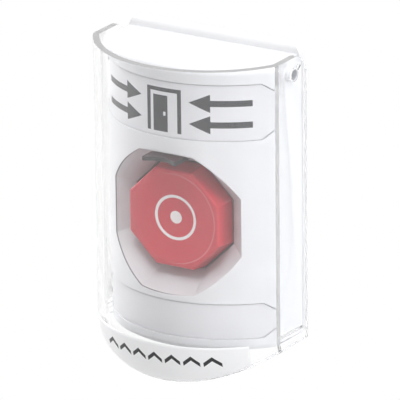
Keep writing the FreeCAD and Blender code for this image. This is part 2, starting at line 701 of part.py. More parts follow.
def make_clear_cover():
    """The clear cover: a bowed front and two sides, open at the top, back and bottom."""
    outside = common(
        "cover_outside",
        cover_bow("cover_outer_bow", "0", "cover_top", "chin_low"),
        box("cover_block", about("0", "cover_half_width"),
            ("- cover_front - over", "- cover_back"), ("chin_low - over", "cover_top + over")),
    )
    inside = common(
        "cover_inside",
        cover_bow("cover_inner_bow", "cover_wall", "cover_top + over", "chin_low - over"),
        box("cover_inner_block", about("0", "(cover_half_width - cover_wall)"),
            ("- cover_front", "over"), ("chin_low - 2 * over", "cover_top + 2 * over")),
    )
    through = about("0", "reach")
    corner = cut(
        "ear_corner",
        box("ear_corner_block", about("0", "(reach - over)"), ("- pin_depth", "over"),
            ("cover_top - ear_radius", "cover_top + over")),
        rod("ear_drum", "X", "ear_radius", through, y="- pin_depth",
            z="cover_top - ear_radius"),
    )
    hole = rod("hinge_hole", "X", "pin_radius + pin_gap", through, y="- pin_depth",
               z="pin_height")
    shell = cut("cover_shell", outside, inside, corner, hole, snap_slit())
    return common("clear_cover", shell, lip_edge("lip_trim", "0"))


def make_lift_label():
    """The printed label on the lip's outer face."""
    skin = cut(
        "lift_skin",
        cover_bow("lift_outer", "(- film - adhesive)", "chin_start + over", "chin_low"),
        cover_bow("lift_inner", "(- adhesive)", "chin_start + 2 * over", "chin_low - over"),
    )
    window = box(
        "lift_window",
        about("0", "(cover_half_width - label_margin)"),
        ("- cover_front - over", "- cover_corner"),
        ("chin_low - over", "chin_start - label_drop"),
    )
    return common("lift_label", skin, window, lip_edge("label_trim", "label_edge"))


def make_back_plate():
    """The back plate, with its wire opening, box-screw holes, screw lugs and top latches."""
    outer = rounded(about("0", "plate_half_width"), ("housing_bottom", "plate_top"),
                    "plate_round")
    plate = prism("plate_body", outer, ("- plate_thickness", "0"))
    inner = rounded(about("0", "wire_half_width"), ("wire_bottom", "wire_top"), "wire_round")
    opening = prism("wire_opening", inner, ("- plate_thickness - over", "over"))
    brow = cut(
        "plate_brow_corner",
        box("plate_brow_block", about("0", "(reach - over)"),
            ("- plate_thickness - over", "plate_brow - plate_thickness"),
            ("plate_top - plate_brow", "plate_top + over")),
        rod("plate_brow_drum", "X", "plate_brow", about("0", "reach"),
            y="plate_brow - plate_thickness", z="plate_top - plate_brow"),
    )
    additions, holes = [], [opening, brow]
    lug_height = ("lug_low", "lug_low + lug_height")
    arm_front = "- rib_depth - latch_gap - latch_arm"
    arm_low = "rib_low - latch_gap - latch_arm"
    for side, sign in SIDES:
        additions.append(
            box("lug_" + side, about(f"{sign} lug_across", "lug_half_width"),
                ("- plate_thickness - lug_reach", "0"), lug_height)
        )
        holes.append(
            rod("lug_bore_" + side, "Z", "screw_radius", ("housing_bottom", lug_height[1]),
                x=f"{sign} lug_across", y="- lug_screw_depth")
        )
        width = about(f"{sign} latch_across", "latch_half_width")
        additions.append(
            box("latch_arm_" + side, width, (arm_front, "0"), (arm_low, "rib_low - latch_gap"))
        )
        additions.append(
            box("latch_nose_" + side, width, (arm_front, "- rib_depth - latch_gap"),
                (arm_low, "housing_top - housing_wall - latch_gap"))
        )
    for level, sign in LEVELS:
        holes.append(
            rod("box_hole_" + level, "Y", "box_screw_hole", ("- plate_thickness - over", "over"),
                z=f"{sign} box_screw_pitch / 2")
        )
    return cut("back_plate", fuse("plate_solid", plate, *additions), *holes)


def make_hinge_pin(side, sign):
    """A hinge pin, pressed into the housing, its hollow end standing in the cover's ear."""
    inner, outer = "housing_half_width - pin_grip", "cover_half_width - pin_sunk"
    corners = [
        (inner, "0"),
        (f"{outer} - pin_hollow_depth", "0"),
        (f"{outer} - pin_hollow_depth", "pin_hollow"),
        (outer, "pin_hollow"),
        (outer, "pin_radius - pin_bevel"),
        (f"{outer} - pin_bevel", "pin_radius"),
        (inner, "pin_radius"),
    ]
    if sign == "-":
        corners = [(f"- ({across})", up) for across, up in reversed(corners)]
    return turned("hinge_pin_" + side, corners, "XZ_Plane", "H_Axis", y="- pin_depth",
                  z="pin_height")


def octagon_face(name, flats, depth):
    """A regular octagon that faces the viewer, flats upright, at a depth."""
    polygon = doc.addObject("Part::RegularPolygon", name)
    polygon.Polygon = 8
    upright = Rotation(V(1, 0, 0), 90).multiply(Rotation(V(0, 0, 1), 22.5))
    polygon.Placement = FreeCAD.Placement(V(), upright)
    bind(polygon, Circumradius=f"({flats}) / 2 / cos(22.5 deg)")
    place(polygon, y=f"- ({depth})", z="button_height")
    return polygon


def taper(name, front, back):
    """A solid between two octagons, each given as flats and depth."""
    loft = doc.addObject("Part::Loft", name)
    loft.Sections = [octagon_face(name + "_front", *front), octagon_face(name + "_back", *back)]
    loft.Solid = True
    loft.Ruled = True
    return loft


def make_button_cap():
    """The red octagonal button: tapered shell with a dished front, a hub and two legs."""
    block = taper("cap_block", ("cap_front_flats", "cap_front"), ("cap_back_flats", "cap_back"))
    doc.recompute()
    front_y = -value("cap_front")
    softened = doc.addObject("Part::Fillet", "cap_softened")
    softened.Base = block
    softened.Edges = [
        (number, value("cap_round"), value("cap_round"))
        for number, edge in enumerate(block.Shape.Edges, start=1)
        if all(math.isclose(vertex.Point.y, front_y) for vertex in edge.Vertexes)
    ]
    ball = "(dish_radius ^ 2 + dish_sunk ^ 2) / (2 * dish_sunk)"
    dish = doc.addObject("Part::Sphere", "cap_dish")
    bind(dish, Radius=ball)
    place(dish, y=f"- cap_front + dish_sunk - {ball}", z="button_height")
    slope = "cap_draft / cap_length"
    hollow = taper(
        "cap_hollow",
        (f"cap_front_flats - 2 * cap_wall + {slope} * (dish_sunk + cap_web)", "cap_inner"),
        (f"cap_back_flats - 2 * cap_wall + {slope} * over", "cap_back - over"),
    )
    shell = cut("cap_shell", softened, dish, hollow)
    root = "- cap_inner - cap_web / 2"
    hub = rod("cap_hub", "Y", "hub_radius", (root, "- cap_inner + hub_length"),
              z="button_height")
    legs = [
        rod("cap_leg_" + side, "Y", "leg_radius", (root, "- plunger_tip"),
            x=f"{sign} block_across", z="button_height")
        for side, sign in SIDES
    ]
    bore = rod("cap_bore", "Y", "stem_radius", ("- cap_inner", "- cap_back + over"),
               z="button_height")
    return cut("button_cap", fuse("cap_solid", shell, hub, *legs), bore)


def make_button_stem():
    """The turned stem that carries the button, with a groove for the retaining clip."""
    groove_front = "- clip_depth - clip_thickness"
    tail = "- clip_depth + stem_tail"
    corners = [
        ("- cap_inner", "0"),
        (tail, "0"),
        (tail, "stem_radius - stem_bevel"),
        (f"{tail} - stem_bevel", "stem_radius"),
        ("- clip_depth", "stem_radius"),
        ("- clip_depth", "clip_eye"),
        (groove_front, "clip_eye"),
        (groove_front, "stem_radius"),
        ("- cap_inner", "stem_radius"),
    ]
    return turned("button_stem", corners, axis="H_Axis", z="button_height")


def make_retaining_clip():
    """The open clip in the stem's groove, which stops the button at its rest position."""
    span = ("- clip_depth - clip_thickness", "- clip_depth")
    through = ("- clip_depth - clip_thickness - over", "- clip_depth + over")
    disc = rod("clip_disc", "Y", "clip_radius", span, z="button_height")
    eye = rod("clip_hole", "Y", "clip_eye", through, z="button_height")
    mouth = box("clip_mouth", about("0", "(clip_eye - clip_lip)"), through,
                ("button_height - clip_radius - over", "button_height"))
    return cut("retaining_clip", disc, eye, mouth)


def make_return_spring():
    """The round-wire spring between the carrier and the inside of the button."""
    wire = value("spring_wire")
    end = wire / 2 + value("spring_seat")
    length = value("cap_inner - carrier_depth") - 2 * end
    radius = value("spring_radius")
    coil = Part.makeHelix(length / value("spring_turns"), length, radius)
    section = Part.Wire(Part.makeCircle(wire / 2, V(radius, 0, 0), V(0, 1, 0)))
    feature = doc.addObject("Part::Feature", "return_spring")
    feature.Shape = Part.Wire(coil).makePipeShell([section], True, True)
    feature.Placement = FreeCAD.Placement(V(), TURN["Y"])
    place(feature, y="- cap_inner + spring_wire / 2 + spring_seat", z="button_height")
    return feature


def make_switch_carrier():
    """The carrier plate with the stem's guide sleeve and two snap hooks."""
    edge = rounded(about("0", "carrier_half_width"),
                   about("button_height", "carrier_half_height"), "boss_radius")
    additions = [
        prism("carrier_plate", edge, ("- carrier_depth", "- carrier_rear")),
        rod("guide_sleeve", "Y", "guide_radius",
            ("- carrier_depth", "- clip_depth - clip_thickness"), z="button_height"),
    ]
    through = ("- carrier_depth - over", "- carrier_rear + over")
    cuts = [
        rod("guide_bore", "Y", "stem_radius + stem_gap",
            ("- carrier_depth - over", "- clip_depth + over"), z="button_height")
    ]
    inner = "block_across + block_half_width + hook_gap"
    outer = f"{inner} + hook_thickness"
    height = about("button_height", "hook_half_height")
    for side, sign in SIDES:
        additions.append(
            box("hook_arm_" + side, mirrored((inner, outer), sign),
                ("- carrier_depth", "- block_back + hook_nose"), height)
        )
        additions.append(
            box("hook_nose_" + side, mirrored((f"{inner} - hook_nose", outer), sign),
                ("- block_back", "- block_back + hook_nose"), height)
        )
        window = "(plunger_half + window_gap)"
        cuts.append(
            box("plunger_window_" + side, about(f"{sign} block_across", window), through,
                about("button_height", window))
        )
    for spot, x, z in carrier_spots():
        cuts.append(
            rod("carrier_hole_" + spot, "Y", "screw_radius + screw_hole_gap", through, x=x, z=z)
        )
    return cut("switch_carrier", fuse("carrier_solid", *additions), *cuts)


# The normally closed and the normally open contact block: X of its middle, and the front and
# rear faces of its terminals.
BLOCKS = {
    "nc": ("- block_across", ("- closed_depth - brass", "- closed_depth")),
    "no": ("block_across", ("- open_depth", "- open_depth + brass")),
}


def make_contact_block(kind):
    """A contact block: chamber for the bridge, and a shelf for the terminal at each end."""
    middle, (strip_front, strip_back) = BLOCKS[kind]
    front, back = "- carrier_rear", "- block_back"
    body = box(kind + "_body", about(middle, "block_half_width"), (front, back),
               about("button_height", "block_half_height"))
    inner = about(middle, "(block_half_width - block_wall)")
    mouth = "(plunger_half + plunger_gap)"
    cuts = [
        box(kind + "_chamber", inner, (f"{front} + block_wall", f"{back} - block_wall"),
            about("button_height", "chamber_half_height")),
        box(kind + "_mouth", about(middle, mouth), (f"{front} - over", f"{front} + 2 * block_wall"),
            about("button_height", mouth)),
    ]
    slot = "(terminal_half_width + terminal_slot_gap)"
    for level, sign in LEVELS:
        passage = mirrored(("chamber_half_height - over", "block_half_height - over"), sign)
        shelf = mirrored(("chamber_half_height + chamber_end", "block_half_height + over"), sign)
        cuts.append(
            box(f"{kind}_slot_{level}", about(middle, slot),
                (strip_front, f"{strip_back} + terminal_slot_gap"),
                (f"button_height + {passage[0]}", f"button_height + {passage[1]}"))
        )
        cuts.append(
            box(f"{kind}_shelf_{level}", inner, (strip_front, f"{back} + over"),
                (f"button_height + {shelf[0]}", f"button_height + {shelf[1]}"))
        )
        cuts.append(
            rod(f"{kind}_thread_{level}", "Y", "terminal_screw_radius",
                (f"{strip_front} - terminal_screw_bite - bore_spare", f"{strip_front} + over"),
                x=middle, z=f"button_height {sign} terminal_screw_up")
        )
    return cut(f"contact_block_{kind}", body, *cuts)


def make_terminal(kind, level, sign):
    """A brass terminal strip: fixed contact at its inner end, screw hole at its outer end."""
    middle, depths = BLOCKS[kind]
    low, high = mirrored(("terminal_inner", "block_half_height - terminal_end"), sign)
    name = f"{kind}_terminal_{level}"
    strip = box(name + "_strip", about(middle, "terminal_half_width"), depths,
                (f"button_height + {low}", f"button_height + {high}"))
    hole = rod(name + "_hole", "Y", "terminal_screw_radius + screw_hole_gap",
               (f"{depths[0]} - over", f"{depths[1]} + over"), x=middle,
               z=f"button_height {sign} terminal_screw_up")
    return cut(name, strip, hole)


def make_plunger(kind):
    """A square contact plunger with a window for its bridge."""
    middle = BLOCKS[kind][0]
    stick = box(kind + "_stick", about(middle, "plunger_half"),
                ("- plunger_tip", "- plunger_end"), about("button_height", "plunger_half"))
    window = box(kind + "_window", about(middle, "bridge_half_width"),
                 ("- bridge_front", "- bridge_front + brass"),
                 about("button_height", "(plunger_half + over)"))
    return cut(f"{kind}_plunger", stick, window)


def make_bridge(kind):
    """The brass bridge that a plunger carries across its block."""
    (left, right), (low, high) = about("0", "bridge_half_width"), about("0", "bridge_half_height")
    corners = [(left, low), (right, low), (right, high), (left, high)]
    return prism(f"{kind}_bridge", corners, ("- bridge_front", "- bridge_front + brass"),
                 x=BLOCKS[kind][0], z="button_height")


def make_terminal_screws():
    """The four terminal screws, as separate solids of one node."""
    screws = [
        screw(f"{kind}_screw_{level}", "terminal_screw_radius", "terminal_head",
              "brass + terminal_screw_bite", middle, depths[1],
              f"button_height {sign} terminal_screw_up")
        for kind, (middle, depths) in BLOCKS.items()
        for level, sign in LEVELS
    ]
    return group("terminal_screws", screws)


def make_carrier_screws():
    """The four screws that hold the carrier to the housing."""
    screws = [
        screw("carrier_screw_" + spot, "screw_radius", "screw_head",
              "carrier_thickness + screw_bite", x, "- carrier_rear", z)
        for spot, x, z in carrier_spots()
    ]
    return group("carrier_screws", screws)


def make_housing_screws():
    """The two screws that enter from below and hold the housing to the back plate's lugs."""
    screws = []
    for side, sign in SIDES:
        body = screw("housing_screw_" + side, "screw_radius", "screw_head",
                     "housing_wall + lug_height", f"{sign} lug_across", "- lug_screw_depth",
                     "housing_bottom")
        base = body.Placement.Base
        body.Placement = FreeCAD.Placement(base, TURN["Y"])
        screws.append(body)
    return group("housing_screws", screws)


def make_indicator_lens():
    """The smoked lens: a flat bar that stands out of the recess's upper wall."""
    bar = box("lens_bar", about("0", "lens_half_width"), ("- lens_front", "- lens_back"),
              ("lens_low", "lens_top"))
    drum = "(lens_notch_half ^ 2 + lens_notch ^ 2) / (2 * lens_notch)"
    hollow = rod("lens_hollow", "Z", drum, ("lens_low - over", "lens_top + over"),
                 y=f"- lens_front + lens_notch - {drum}")
    return cut("indicator_lens", bar, hollow)


def make_indicator_board():
    """The small circuit board behind the lens."""
    plate = box("board_plate", about("0", "board_half_width"),
                ("- board_front", "- board_front + board_thickness"),
                ("board_bottom", "board_top"))
    holes = [
        rod("board_hole_" + side, "Y", "board_screw_radius + screw_hole_gap",
            ("- board_front - over", "- board_front + board_thickness + over"),
            x=f"{sign} board_screw_across", z="board_screw_height")
        for side, sign in SIDES
    ]
    return cut("indicator_board", plate, *holes)


def make_indicator_diodes():
    """The two light-emitting diodes that shine into the lens."""
    diodes = [
        box("diode_" + side, about(f"{sign} led_across", "led_half_width"),
            ("- board_front - led_height", "- board_front"),
            ("lens_low + led_inset", "lens_top - led_inset"))
        for side, sign in SIDES
    ]
    return group("indicator_diodes", diodes)


def make_board_screws():
    """The two small screws that hold the board to its bosses."""
    screws = [
        screw("board_screw_" + side, "board_screw_radius", "board_screw_head",
              "board_thickness + board_screw_bite", f"{sign} board_screw_across",
              "- board_front + board_thickness", "board_screw_height")
        for side, sign in SIDES
    ]
    return group("board_screws", screws)


def build():
    """Make every sub-part and return them by node name."""
    fill_sheet()
    parts = {
        "back_plate": make_back_plate(),
        "housing": make_housing(),
        "upper_card": make_card("upper"),
        "lower_card": make_card("lower"),
        "indicator_lens": make_indicator_lens(),
        "indicator_board": make_indicator_board(),
        "indicator_diodes": make_indicator_diodes(),
        "board_screws": make_board_screws(),
        "housing_screws": make_housing_screws(),
        "switch_carrier": make_switch_carrier(),
        "carrier_screws": make_carrier_screws(),
        "terminal_screws": make_terminal_screws(),
        "button_cap": make_button_cap(),
        "button_stem": make_button_stem(),
        "retaining_clip": make_retaining_clip(),
        "return_spring": make_return_spring(),
        "clear_cover": make_clear_cover(),
        "lift_label": make_lift_label(),
    }
    for side, sign in SIDES:
        parts["hinge_pin_" + side] = make_hinge_pin(side, sign)
    for kind in BLOCKS:
        parts["contact_block_" + kind] = make_contact_block(kind)
        parts[kind + "_plunger"] = make_plunger(kind)
        parts[kind + "_bridge"] = make_bridge(kind)
        for level, sign in LEVELS:
            parts[f"{kind}_terminal_{level}"] = make_terminal(kind, level, sign)
    return parts


def check(parts):
    """Stop if any object failed, or if a sub-part's shape is missing or faulty."""
    doc.recompute()
    failed = [item.Name for item in doc.Objects if {"Invalid", "Error"} & set(item.State)]
    if failed:
        raise RuntimeError("failed objects: " + ", ".join(failed))
    for name, item in parts.items():
        shape = item.Shape
        if shape.isNull() or not shape.isValid() or not shape.Solids:
            raise RuntimeError("faulty shape: " + name)
        print(f"{name:22s} {len(shape.Solids)} solid(s) {shape.Volume / 1000:8.3f} cm3")


def write(parts):
    """Label each sub-part and write it to its own file."""
    os.makedirs("parts", exist_ok=True)
    for name, item in parts.items():
        item.Label = name
        item.Shape.exportStep(f"parts/{name}.step")


parts = build()
check(parts)
write(parts)
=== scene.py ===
"""Visual model of a covered emergency push button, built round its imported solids."""

import json
import logging
import math
from abc import ABC, abstractmethod
from dataclasses import dataclass, field
from enum import Enum
from typing import Any, Callable, Iterable, Sequence

import bmesh
import bpy
from mathutils import Matrix, Vector

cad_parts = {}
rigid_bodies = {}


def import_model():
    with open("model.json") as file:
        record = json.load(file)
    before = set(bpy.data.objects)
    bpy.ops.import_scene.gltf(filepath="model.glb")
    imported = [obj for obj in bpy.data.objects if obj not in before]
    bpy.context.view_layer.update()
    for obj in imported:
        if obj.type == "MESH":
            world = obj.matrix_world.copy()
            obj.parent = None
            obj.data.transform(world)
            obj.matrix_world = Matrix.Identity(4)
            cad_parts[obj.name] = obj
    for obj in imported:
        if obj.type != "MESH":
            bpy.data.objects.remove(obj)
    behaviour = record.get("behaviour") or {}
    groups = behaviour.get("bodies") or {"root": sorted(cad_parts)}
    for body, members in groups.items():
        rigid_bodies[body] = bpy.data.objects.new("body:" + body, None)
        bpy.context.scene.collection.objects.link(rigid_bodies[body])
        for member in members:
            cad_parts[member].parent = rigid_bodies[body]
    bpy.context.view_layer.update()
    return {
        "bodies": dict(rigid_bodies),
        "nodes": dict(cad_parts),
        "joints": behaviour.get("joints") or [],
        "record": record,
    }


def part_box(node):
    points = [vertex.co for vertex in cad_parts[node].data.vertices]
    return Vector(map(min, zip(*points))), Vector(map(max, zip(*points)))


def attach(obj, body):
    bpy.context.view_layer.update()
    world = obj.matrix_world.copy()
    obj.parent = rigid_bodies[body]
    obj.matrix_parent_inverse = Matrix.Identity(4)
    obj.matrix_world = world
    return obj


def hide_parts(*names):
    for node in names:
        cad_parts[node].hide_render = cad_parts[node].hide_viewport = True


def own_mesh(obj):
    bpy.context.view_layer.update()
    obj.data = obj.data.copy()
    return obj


log = logging.getLogger("push_button")

Triple = tuple[float, float, float]
Colour = Triple
Span = tuple[float, float]

# A millimetre in metres, and how near things touch, in millimetres.
MM = 0.001
WELD = 0.001
PLANE_SLACK = 0.0001

PLASTIC_IOR = 1.49


@dataclass(frozen=True)
class HingeHole:
    """The hinge hole in each ear of the cover and the snap slit beside it, in millimetres."""

    depth: float = 11.9
    height: float = 55.2
    radius: float = 2.66
    slit_width: float = 0.7
    slit_length: float = 2.6
    slit_angle: float = 33.0


HINGE = HingeHole()


# Shader maths


class Channel:
    """An output of a node, on which Python's operators add Math nodes."""

    def __init__(self, recipe: "Recipe", socket: bpy.types.NodeSocket) -> None:
        """Wrap an output.

        Args:
            recipe: The recipe that it belongs to.
            socket: The output socket.
        """
        self.recipe = recipe
        self.socket = socket

    def maths(self, operation: str, *operands: Any) -> "Channel":
        """Add a Math node.

        Args:
            operation: The node's operation.
            operands: Its inputs, in order, as channels or numbers.

        Returns:
            The node's output.
        """
        return self.recipe.node("ShaderNodeMath", {"operation": operation},
                                dict(enumerate(operands)))

    def __add__(self, other: Any) -> "Channel":
        """Return self + other."""
        return self.maths("ADD", self, other)

    def __radd__(self, other: Any) -> "Channel":
        """Return other + self."""
        return self.maths("ADD", other, self)

    def __sub__(self, other: Any) -> "Channel":
        """Return self - other."""
        return self.maths("SUBTRACT", self, other)

    def __rsub__(self, other: Any) -> "Channel":
        """Return other - self."""
        return self.maths("SUBTRACT", other, self)

    def __mul__(self, other: Any) -> "Channel":
        """Return self * other."""
        return self.maths("MULTIPLY", self, other)

    def __rmul__(self, other: Any) -> "Channel":
        """Return other * self."""
        return self.maths("MULTIPLY", other, self)

    def __abs__(self) -> "Channel":
        """Return the magnitude."""
        return self.maths("ABSOLUTE", self)

    def __lt__(self, other: Any) -> "Channel":
        """Return 1 where self is under other, else 0."""
        return self.maths("LESS_THAN", self, other)

    def __gt__(self, other: Any) -> "Channel":
        """Return 1 where self is over other, else 0."""
        return self.maths("GREATER_THAN", self, other)

    def either(self, other: "Channel") -> "Channel":
        """Return the larger of self and other."""
        return self.maths("MAXIMUM", self, other)

    def root(self) -> "Channel":
        """Return the square root."""
        return self.maths("SQRT", self)

    def distance(self, other: "Channel") -> "Channel":
        """Return how far a point lies from the origin, with other as its second axis."""
        return (self * self + other * other).root()

    def zigzag(self, height: float) -> "Channel":
        """Return a zigzag that runs between 0 and a height."""
        return self.maths("PINGPONG", self, height)

    def within(self, low: float, high: float) -> "Channel":
        """Return 1 between two limits, else 0."""
        return (self > low) * (self < high)

    def ramp(self, start: float, end: float, low: float = 0.0, high: float = 1.0) -> "Channel":
        """Map a range smoothly.

        Args:
            start: Input that gives low.
            end: Input that gives high.
            low: Output at and before start.
            high: Output at and after end.

        Returns:
            The mapped value.
        """
        return self.recipe.node("ShaderNodeMapRange", {"interpolation_type": "SMOOTHSTEP"}, {
            "Value": self, "From Min": start, "From Max": end, "To Min": low, "To Max": high})


class Recipe:
    """A node tree in the making."""

    def __init__(self, tree: bpy.types.NodeTree) -> None:
        """Start from an empty tree.

        Args:
            tree: The node tree to fill.
        """
        self.tree = tree
        tree.nodes.clear()

    def add(self, kind: str, settings: dict[str, Any] | None = None,
            inputs: dict[Any, Any] | None = None) -> bpy.types.Node:
        """Add a node.

        Args:
            kind: The node's type.
            settings: Its properties, set before its inputs.
            inputs: Numbers, colours or channels by input name or place.

        Returns:
            The node.
        """
        made = self.tree.nodes.new(kind)
        for name, setting in (settings or {}).items():
            setattr(made, name, setting)
        for name, item in (inputs or {}).items():
            slot = made.inputs[name]
            if isinstance(item, Channel):
                self.tree.links.new(item.socket, slot)
            elif isinstance(item, tuple) and slot.type == "RGBA":
                slot.default_value = (*item, 1.0)
            else:
                slot.default_value = item
        return made

    def node(self, kind: str, settings: dict[str, Any] | None = None,
             inputs: dict[Any, Any] | None = None, output: Any = 0) -> Channel:
        """Add a node and take one of its outputs.

        Args:
            kind: The node's type.
            settings: Its properties, set before its inputs.
            inputs: Numbers, colours or channels by input name or place.
            output: Name or place of the output that is wanted.

        Returns:
            That output.
        """
        return Channel(self, self.add(kind, settings, inputs).outputs[output])

    def place(self) -> Channel:
        """Return the Object coordinates, which are the frame's own, in metres."""
        return self.node("ShaderNodeTexCoord", output="Object")

    def axes(self) -> tuple[Channel, Channel, Channel]:
        """Return X, Y and Z of the place in millimetres."""
        split = self.add("ShaderNodeSeparateXYZ", inputs={0: self.place()})
        x, y, z = (Channel(self, split.outputs[axis]) * (1 / MM) for axis in "XYZ")
        return x, y, z

    def noise(self, scale: float, detail: float = 3.0, rough: float = 0.5,
              stretch: Triple = (1.0, 1.0, 1.0)) -> Channel:
        """Add a noise pattern.

        Args:
            scale: Features per metre.
            detail: Octaves.
            rough: Weight of the finer octaves.
            stretch: Scale along each axis.

        Returns:
            The pattern, from 0 to 1.
        """
        spot = self.node("ShaderNodeMapping", inputs={"Vector": self.place(), "Scale": stretch})
        return self.node("ShaderNodeTexNoise", {}, {
            "Vector": spot, "Scale": scale, "Detail": detail, "Roughness": rough})

    def blend(self, factor: Channel, first: Any, second: Any) -> Channel:
        """Mix two colours.

        Args:
            factor: Share of the second.
            first: The first colour.
            second: The second colour.

        Returns:
            The mixed colour.
        """
        return self.node("ShaderNodeMix", {"data_type": "RGBA"},
                         {0: factor, 6: first, 7: second}, output=2)

    def relief(self, height: Channel, distance: float, edge: float) -> Channel:
        """Round the edges in shading and add a fine relief.

        Args:
            height: The relief, from 0 to 1.
            distance: Its depth in metres.
            edge: Radius of the softened edges in metres, or 0 for none.

        Returns:
            The normal.
        """
        inputs: dict[str, Any] = {"Height": height, "Distance": distance, "Strength": 1.0}
        if edge:
            inputs["Normal"] = self.node("ShaderNodeBevel", {"samples": 4}, {"Radius": edge})
        return self.node("ShaderNodeBump", {}, inputs)

    def plastic(self, inputs: dict[str, Any]) -> Channel:
        """Add a plastic surface with the given inputs."""
        return self.node("ShaderNodeBsdfPrincipled", {}, {"IOR": PLASTIC_IOR, **inputs})

    def mix(self, factor: Channel, first: Channel, second: Channel) -> Channel:
        """Mix two shaders, of which the factor is the share of the second."""
        return self.node("ShaderNodeMixShader", {}, {0: factor, 1: first, 2: second})

    def surface(self, shader: Channel) -> None:
        """Make a shader the material's surface."""
        self.add("ShaderNodeOutputMaterial", inputs={"Surface": shader})


# Printed marks, and the painted highlight on the button's dish


def bar(x: Channel, z: Channel, across: Span, up: Span) -> Channel:
    """Mask a rectangle.

    Args:
        x: Across, in millimetres.
        z: Up, in millimetres.
        across: Its left and right edges.
        up: Its lower and upper edges.

    Returns:
        1 inside it, else 0.
    """
    return x.within(*across) * z.within(*up)


@dataclass(frozen=True)
class Drawing(ABC):
    """A flat drawing, in millimetres across and up."""

    @abstractmethod
    def mask(self, x: Channel, z: Channel) -> Channel:
        """Mask the drawing.

        Args:
            x: Across, in millimetres.
            z: Up, in millimetres.

        Returns:
            1 where ink lies, else 0.
        """


@dataclass(frozen=True)
class Doorway(Drawing):
    """A doorway with its door, and two arrows that point to it from either side."""

    foot: float = 33.6
    lintel: float = 51.5
    half_width: float = 7.5
    jamb: float = 1.6
    leaf_across: Span = (-4.6, 1.8)
    leaf_top: float = 48.4
    knob_across: Span = (-0.1, 0.9)
    knob_up: Span = (40.2, 41.8)
    arrow_heights: Span = (46.9, 38.2)
    shaft: Span = (16.0, 32.0)
    shaft_half: float = 1.25
    head: Span = (10.5, 18.5)
    head_slope: float = 0.46

    def mask(self, x: Channel, z: Channel) -> Channel:
        """Mask the doorway and its arrows."""
        inner = self.half_width - self.jamb
        opening = bar(x, z, (-inner, inner), (self.foot - self.jamb, self.lintel - self.jamb))
        frame = bar(x, z, (-self.half_width, self.half_width), (self.foot, self.lintel))
        knob = bar(x, z, self.knob_across, self.knob_up)
        leaf = bar(x, z, self.leaf_across, (self.foot, self.leaf_top))
        drawn = (frame * (1.0 - opening)).either(leaf * (1.0 - knob))
        reach = abs(x)
        for height in self.arrow_heights:
            aside = abs(z - height)
            shaft = reach.within(*self.shaft) * (aside < self.shaft_half)
            barb = aside < (reach - self.head[0]) * self.head_slope
            drawn = drawn.either(shaft).either(reach.within(*self.head) * barb)
        return drawn


@dataclass(frozen=True)
class Target(Drawing):
    """A ring round a dot in the middle of the button, and a faint painted highlight on its dish's
    edge, stronger to the right.
    """

    middle: float = -4.0
    dot: float = 2.6
    ring: Span = (8.1, 9.3)
    dish: Span = (18.2, 18.6)
    # Where the painted highlight on the dish's edge shows and how strong it is, growing to the
    # right.
    highlight_across: Span = (-6.0, 8.0)
    highlight_strength: Span = (0.05, 0.17)

    def mask(self, x: Channel, z: Channel) -> Channel:
        """Mask the ring and the dot, and in part the painted highlight on the dish's edge."""
        away = x.distance(z - self.middle)
        # Painted highlight: a thin pale ring on the dish's edge, faint on the left and stronger on
        # the right.
        highlight = away.within(*self.dish) * x.ramp(*self.highlight_across, *self.highlight_strength)
        return away.within(*self.ring).either(away < self.dot).either(highlight)


@dataclass(frozen=True)
class Chevrons(Drawing):
    """A row of chevrons that point upwards."""

    half_pitch: float = 3.8
    phase: float = 98.8
    arm: float = 3.2
    slope: float = 0.85
    thickness: Span = (-56.2, -54.4)
    reach: float = 26.5

    def mask(self, x: Channel, z: Channel) -> Channel:
        """Mask the chevrons."""
        aside = (x + self.phase).zigzag(self.half_pitch)
        stroke = (z + aside * self.slope).within(*self.thickness)
        return stroke * (aside < self.arm) * (abs(x) < self.reach)


class Mark(Enum):
    """What is printed on a piece, and the painted highlight on the button's dish."""

    DOORWAY = Doorway()
    TARGET = Target()
    CHEVRONS = Chevrons()


# Finishes: patterns are given per metre, reliefs and softened edges in metres, and places on a
# piece in millimetres.


@dataclass(frozen=True)
class Finish(ABC):
    """A material with a name."""

    name: str

    @abstractmethod
    def dress(self, recipe: Recipe) -> None:
        """Fill the material's node tree.

        Args:
            recipe: The empty tree.
        """

    def material(self) -> bpy.types.Material:
        """Return the material, made at its first use."""
        found = bpy.data.materials.get(self.name)
        if found is None:
            found = bpy.data.materials.new(self.name)
            found.use_nodes = True
            self.dress(Recipe(found.node_tree))
        return found


@dataclass(frozen=True)
class Moulding(Finish):
    """Moulded plastic with faint clouding, a fine grain and softened edges."""

    colour: Colour = (0.8, 0.8, 0.8)
    shade: float = 0.94
    roughness: float = 0.4
    sheen_spread: float = 0.06
    grain: float = 2200.0
    depth: float = 0.000006
    edge: float = 0.0004
    mark: Mark | None = None
    ink: Colour = (0.05, 0.05, 0.05)
    clouds: float = 60.0
    cloud_span: Span = (0.3, 0.7)
    sheen_patches: float = 140.0
    flaws: float = 900.0
    flaw_span: Span = (0.15, 0.35)
    flawed_ink: float = 0.94

    def pigment(self, recipe: Recipe) -> Channel:
        """Return the colour, with its clouding and its print."""
        clouds = recipe.noise(self.clouds, detail=4.0).ramp(*self.cloud_span)
        darker = tuple(part * self.shade for part in self.colour)
        plain = recipe.blend(clouds, self.colour, darker)
        if self.mark is None:
            return plain
        x, _, z = recipe.axes()
        flaws = recipe.noise(self.flaws, detail=2.0).ramp(*self.flaw_span, self.flawed_ink, 1.0)
        return recipe.blend(self.mark.value.mask(x, z) * flaws, plain, self.ink)

    def dress(self, recipe: Recipe) -> None:
        """Fill the material's node tree."""
        patches = recipe.noise(self.sheen_patches)
        gloss = patches * (2 * self.sheen_spread) + (self.roughness - self.sheen_spread)
        normal = recipe.relief(recipe.noise(self.grain, detail=2.0), self.depth, self.edge)
        recipe.surface(recipe.plastic({
            "Base Color": self.pigment(recipe), "Roughness": gloss, "Normal": normal}))


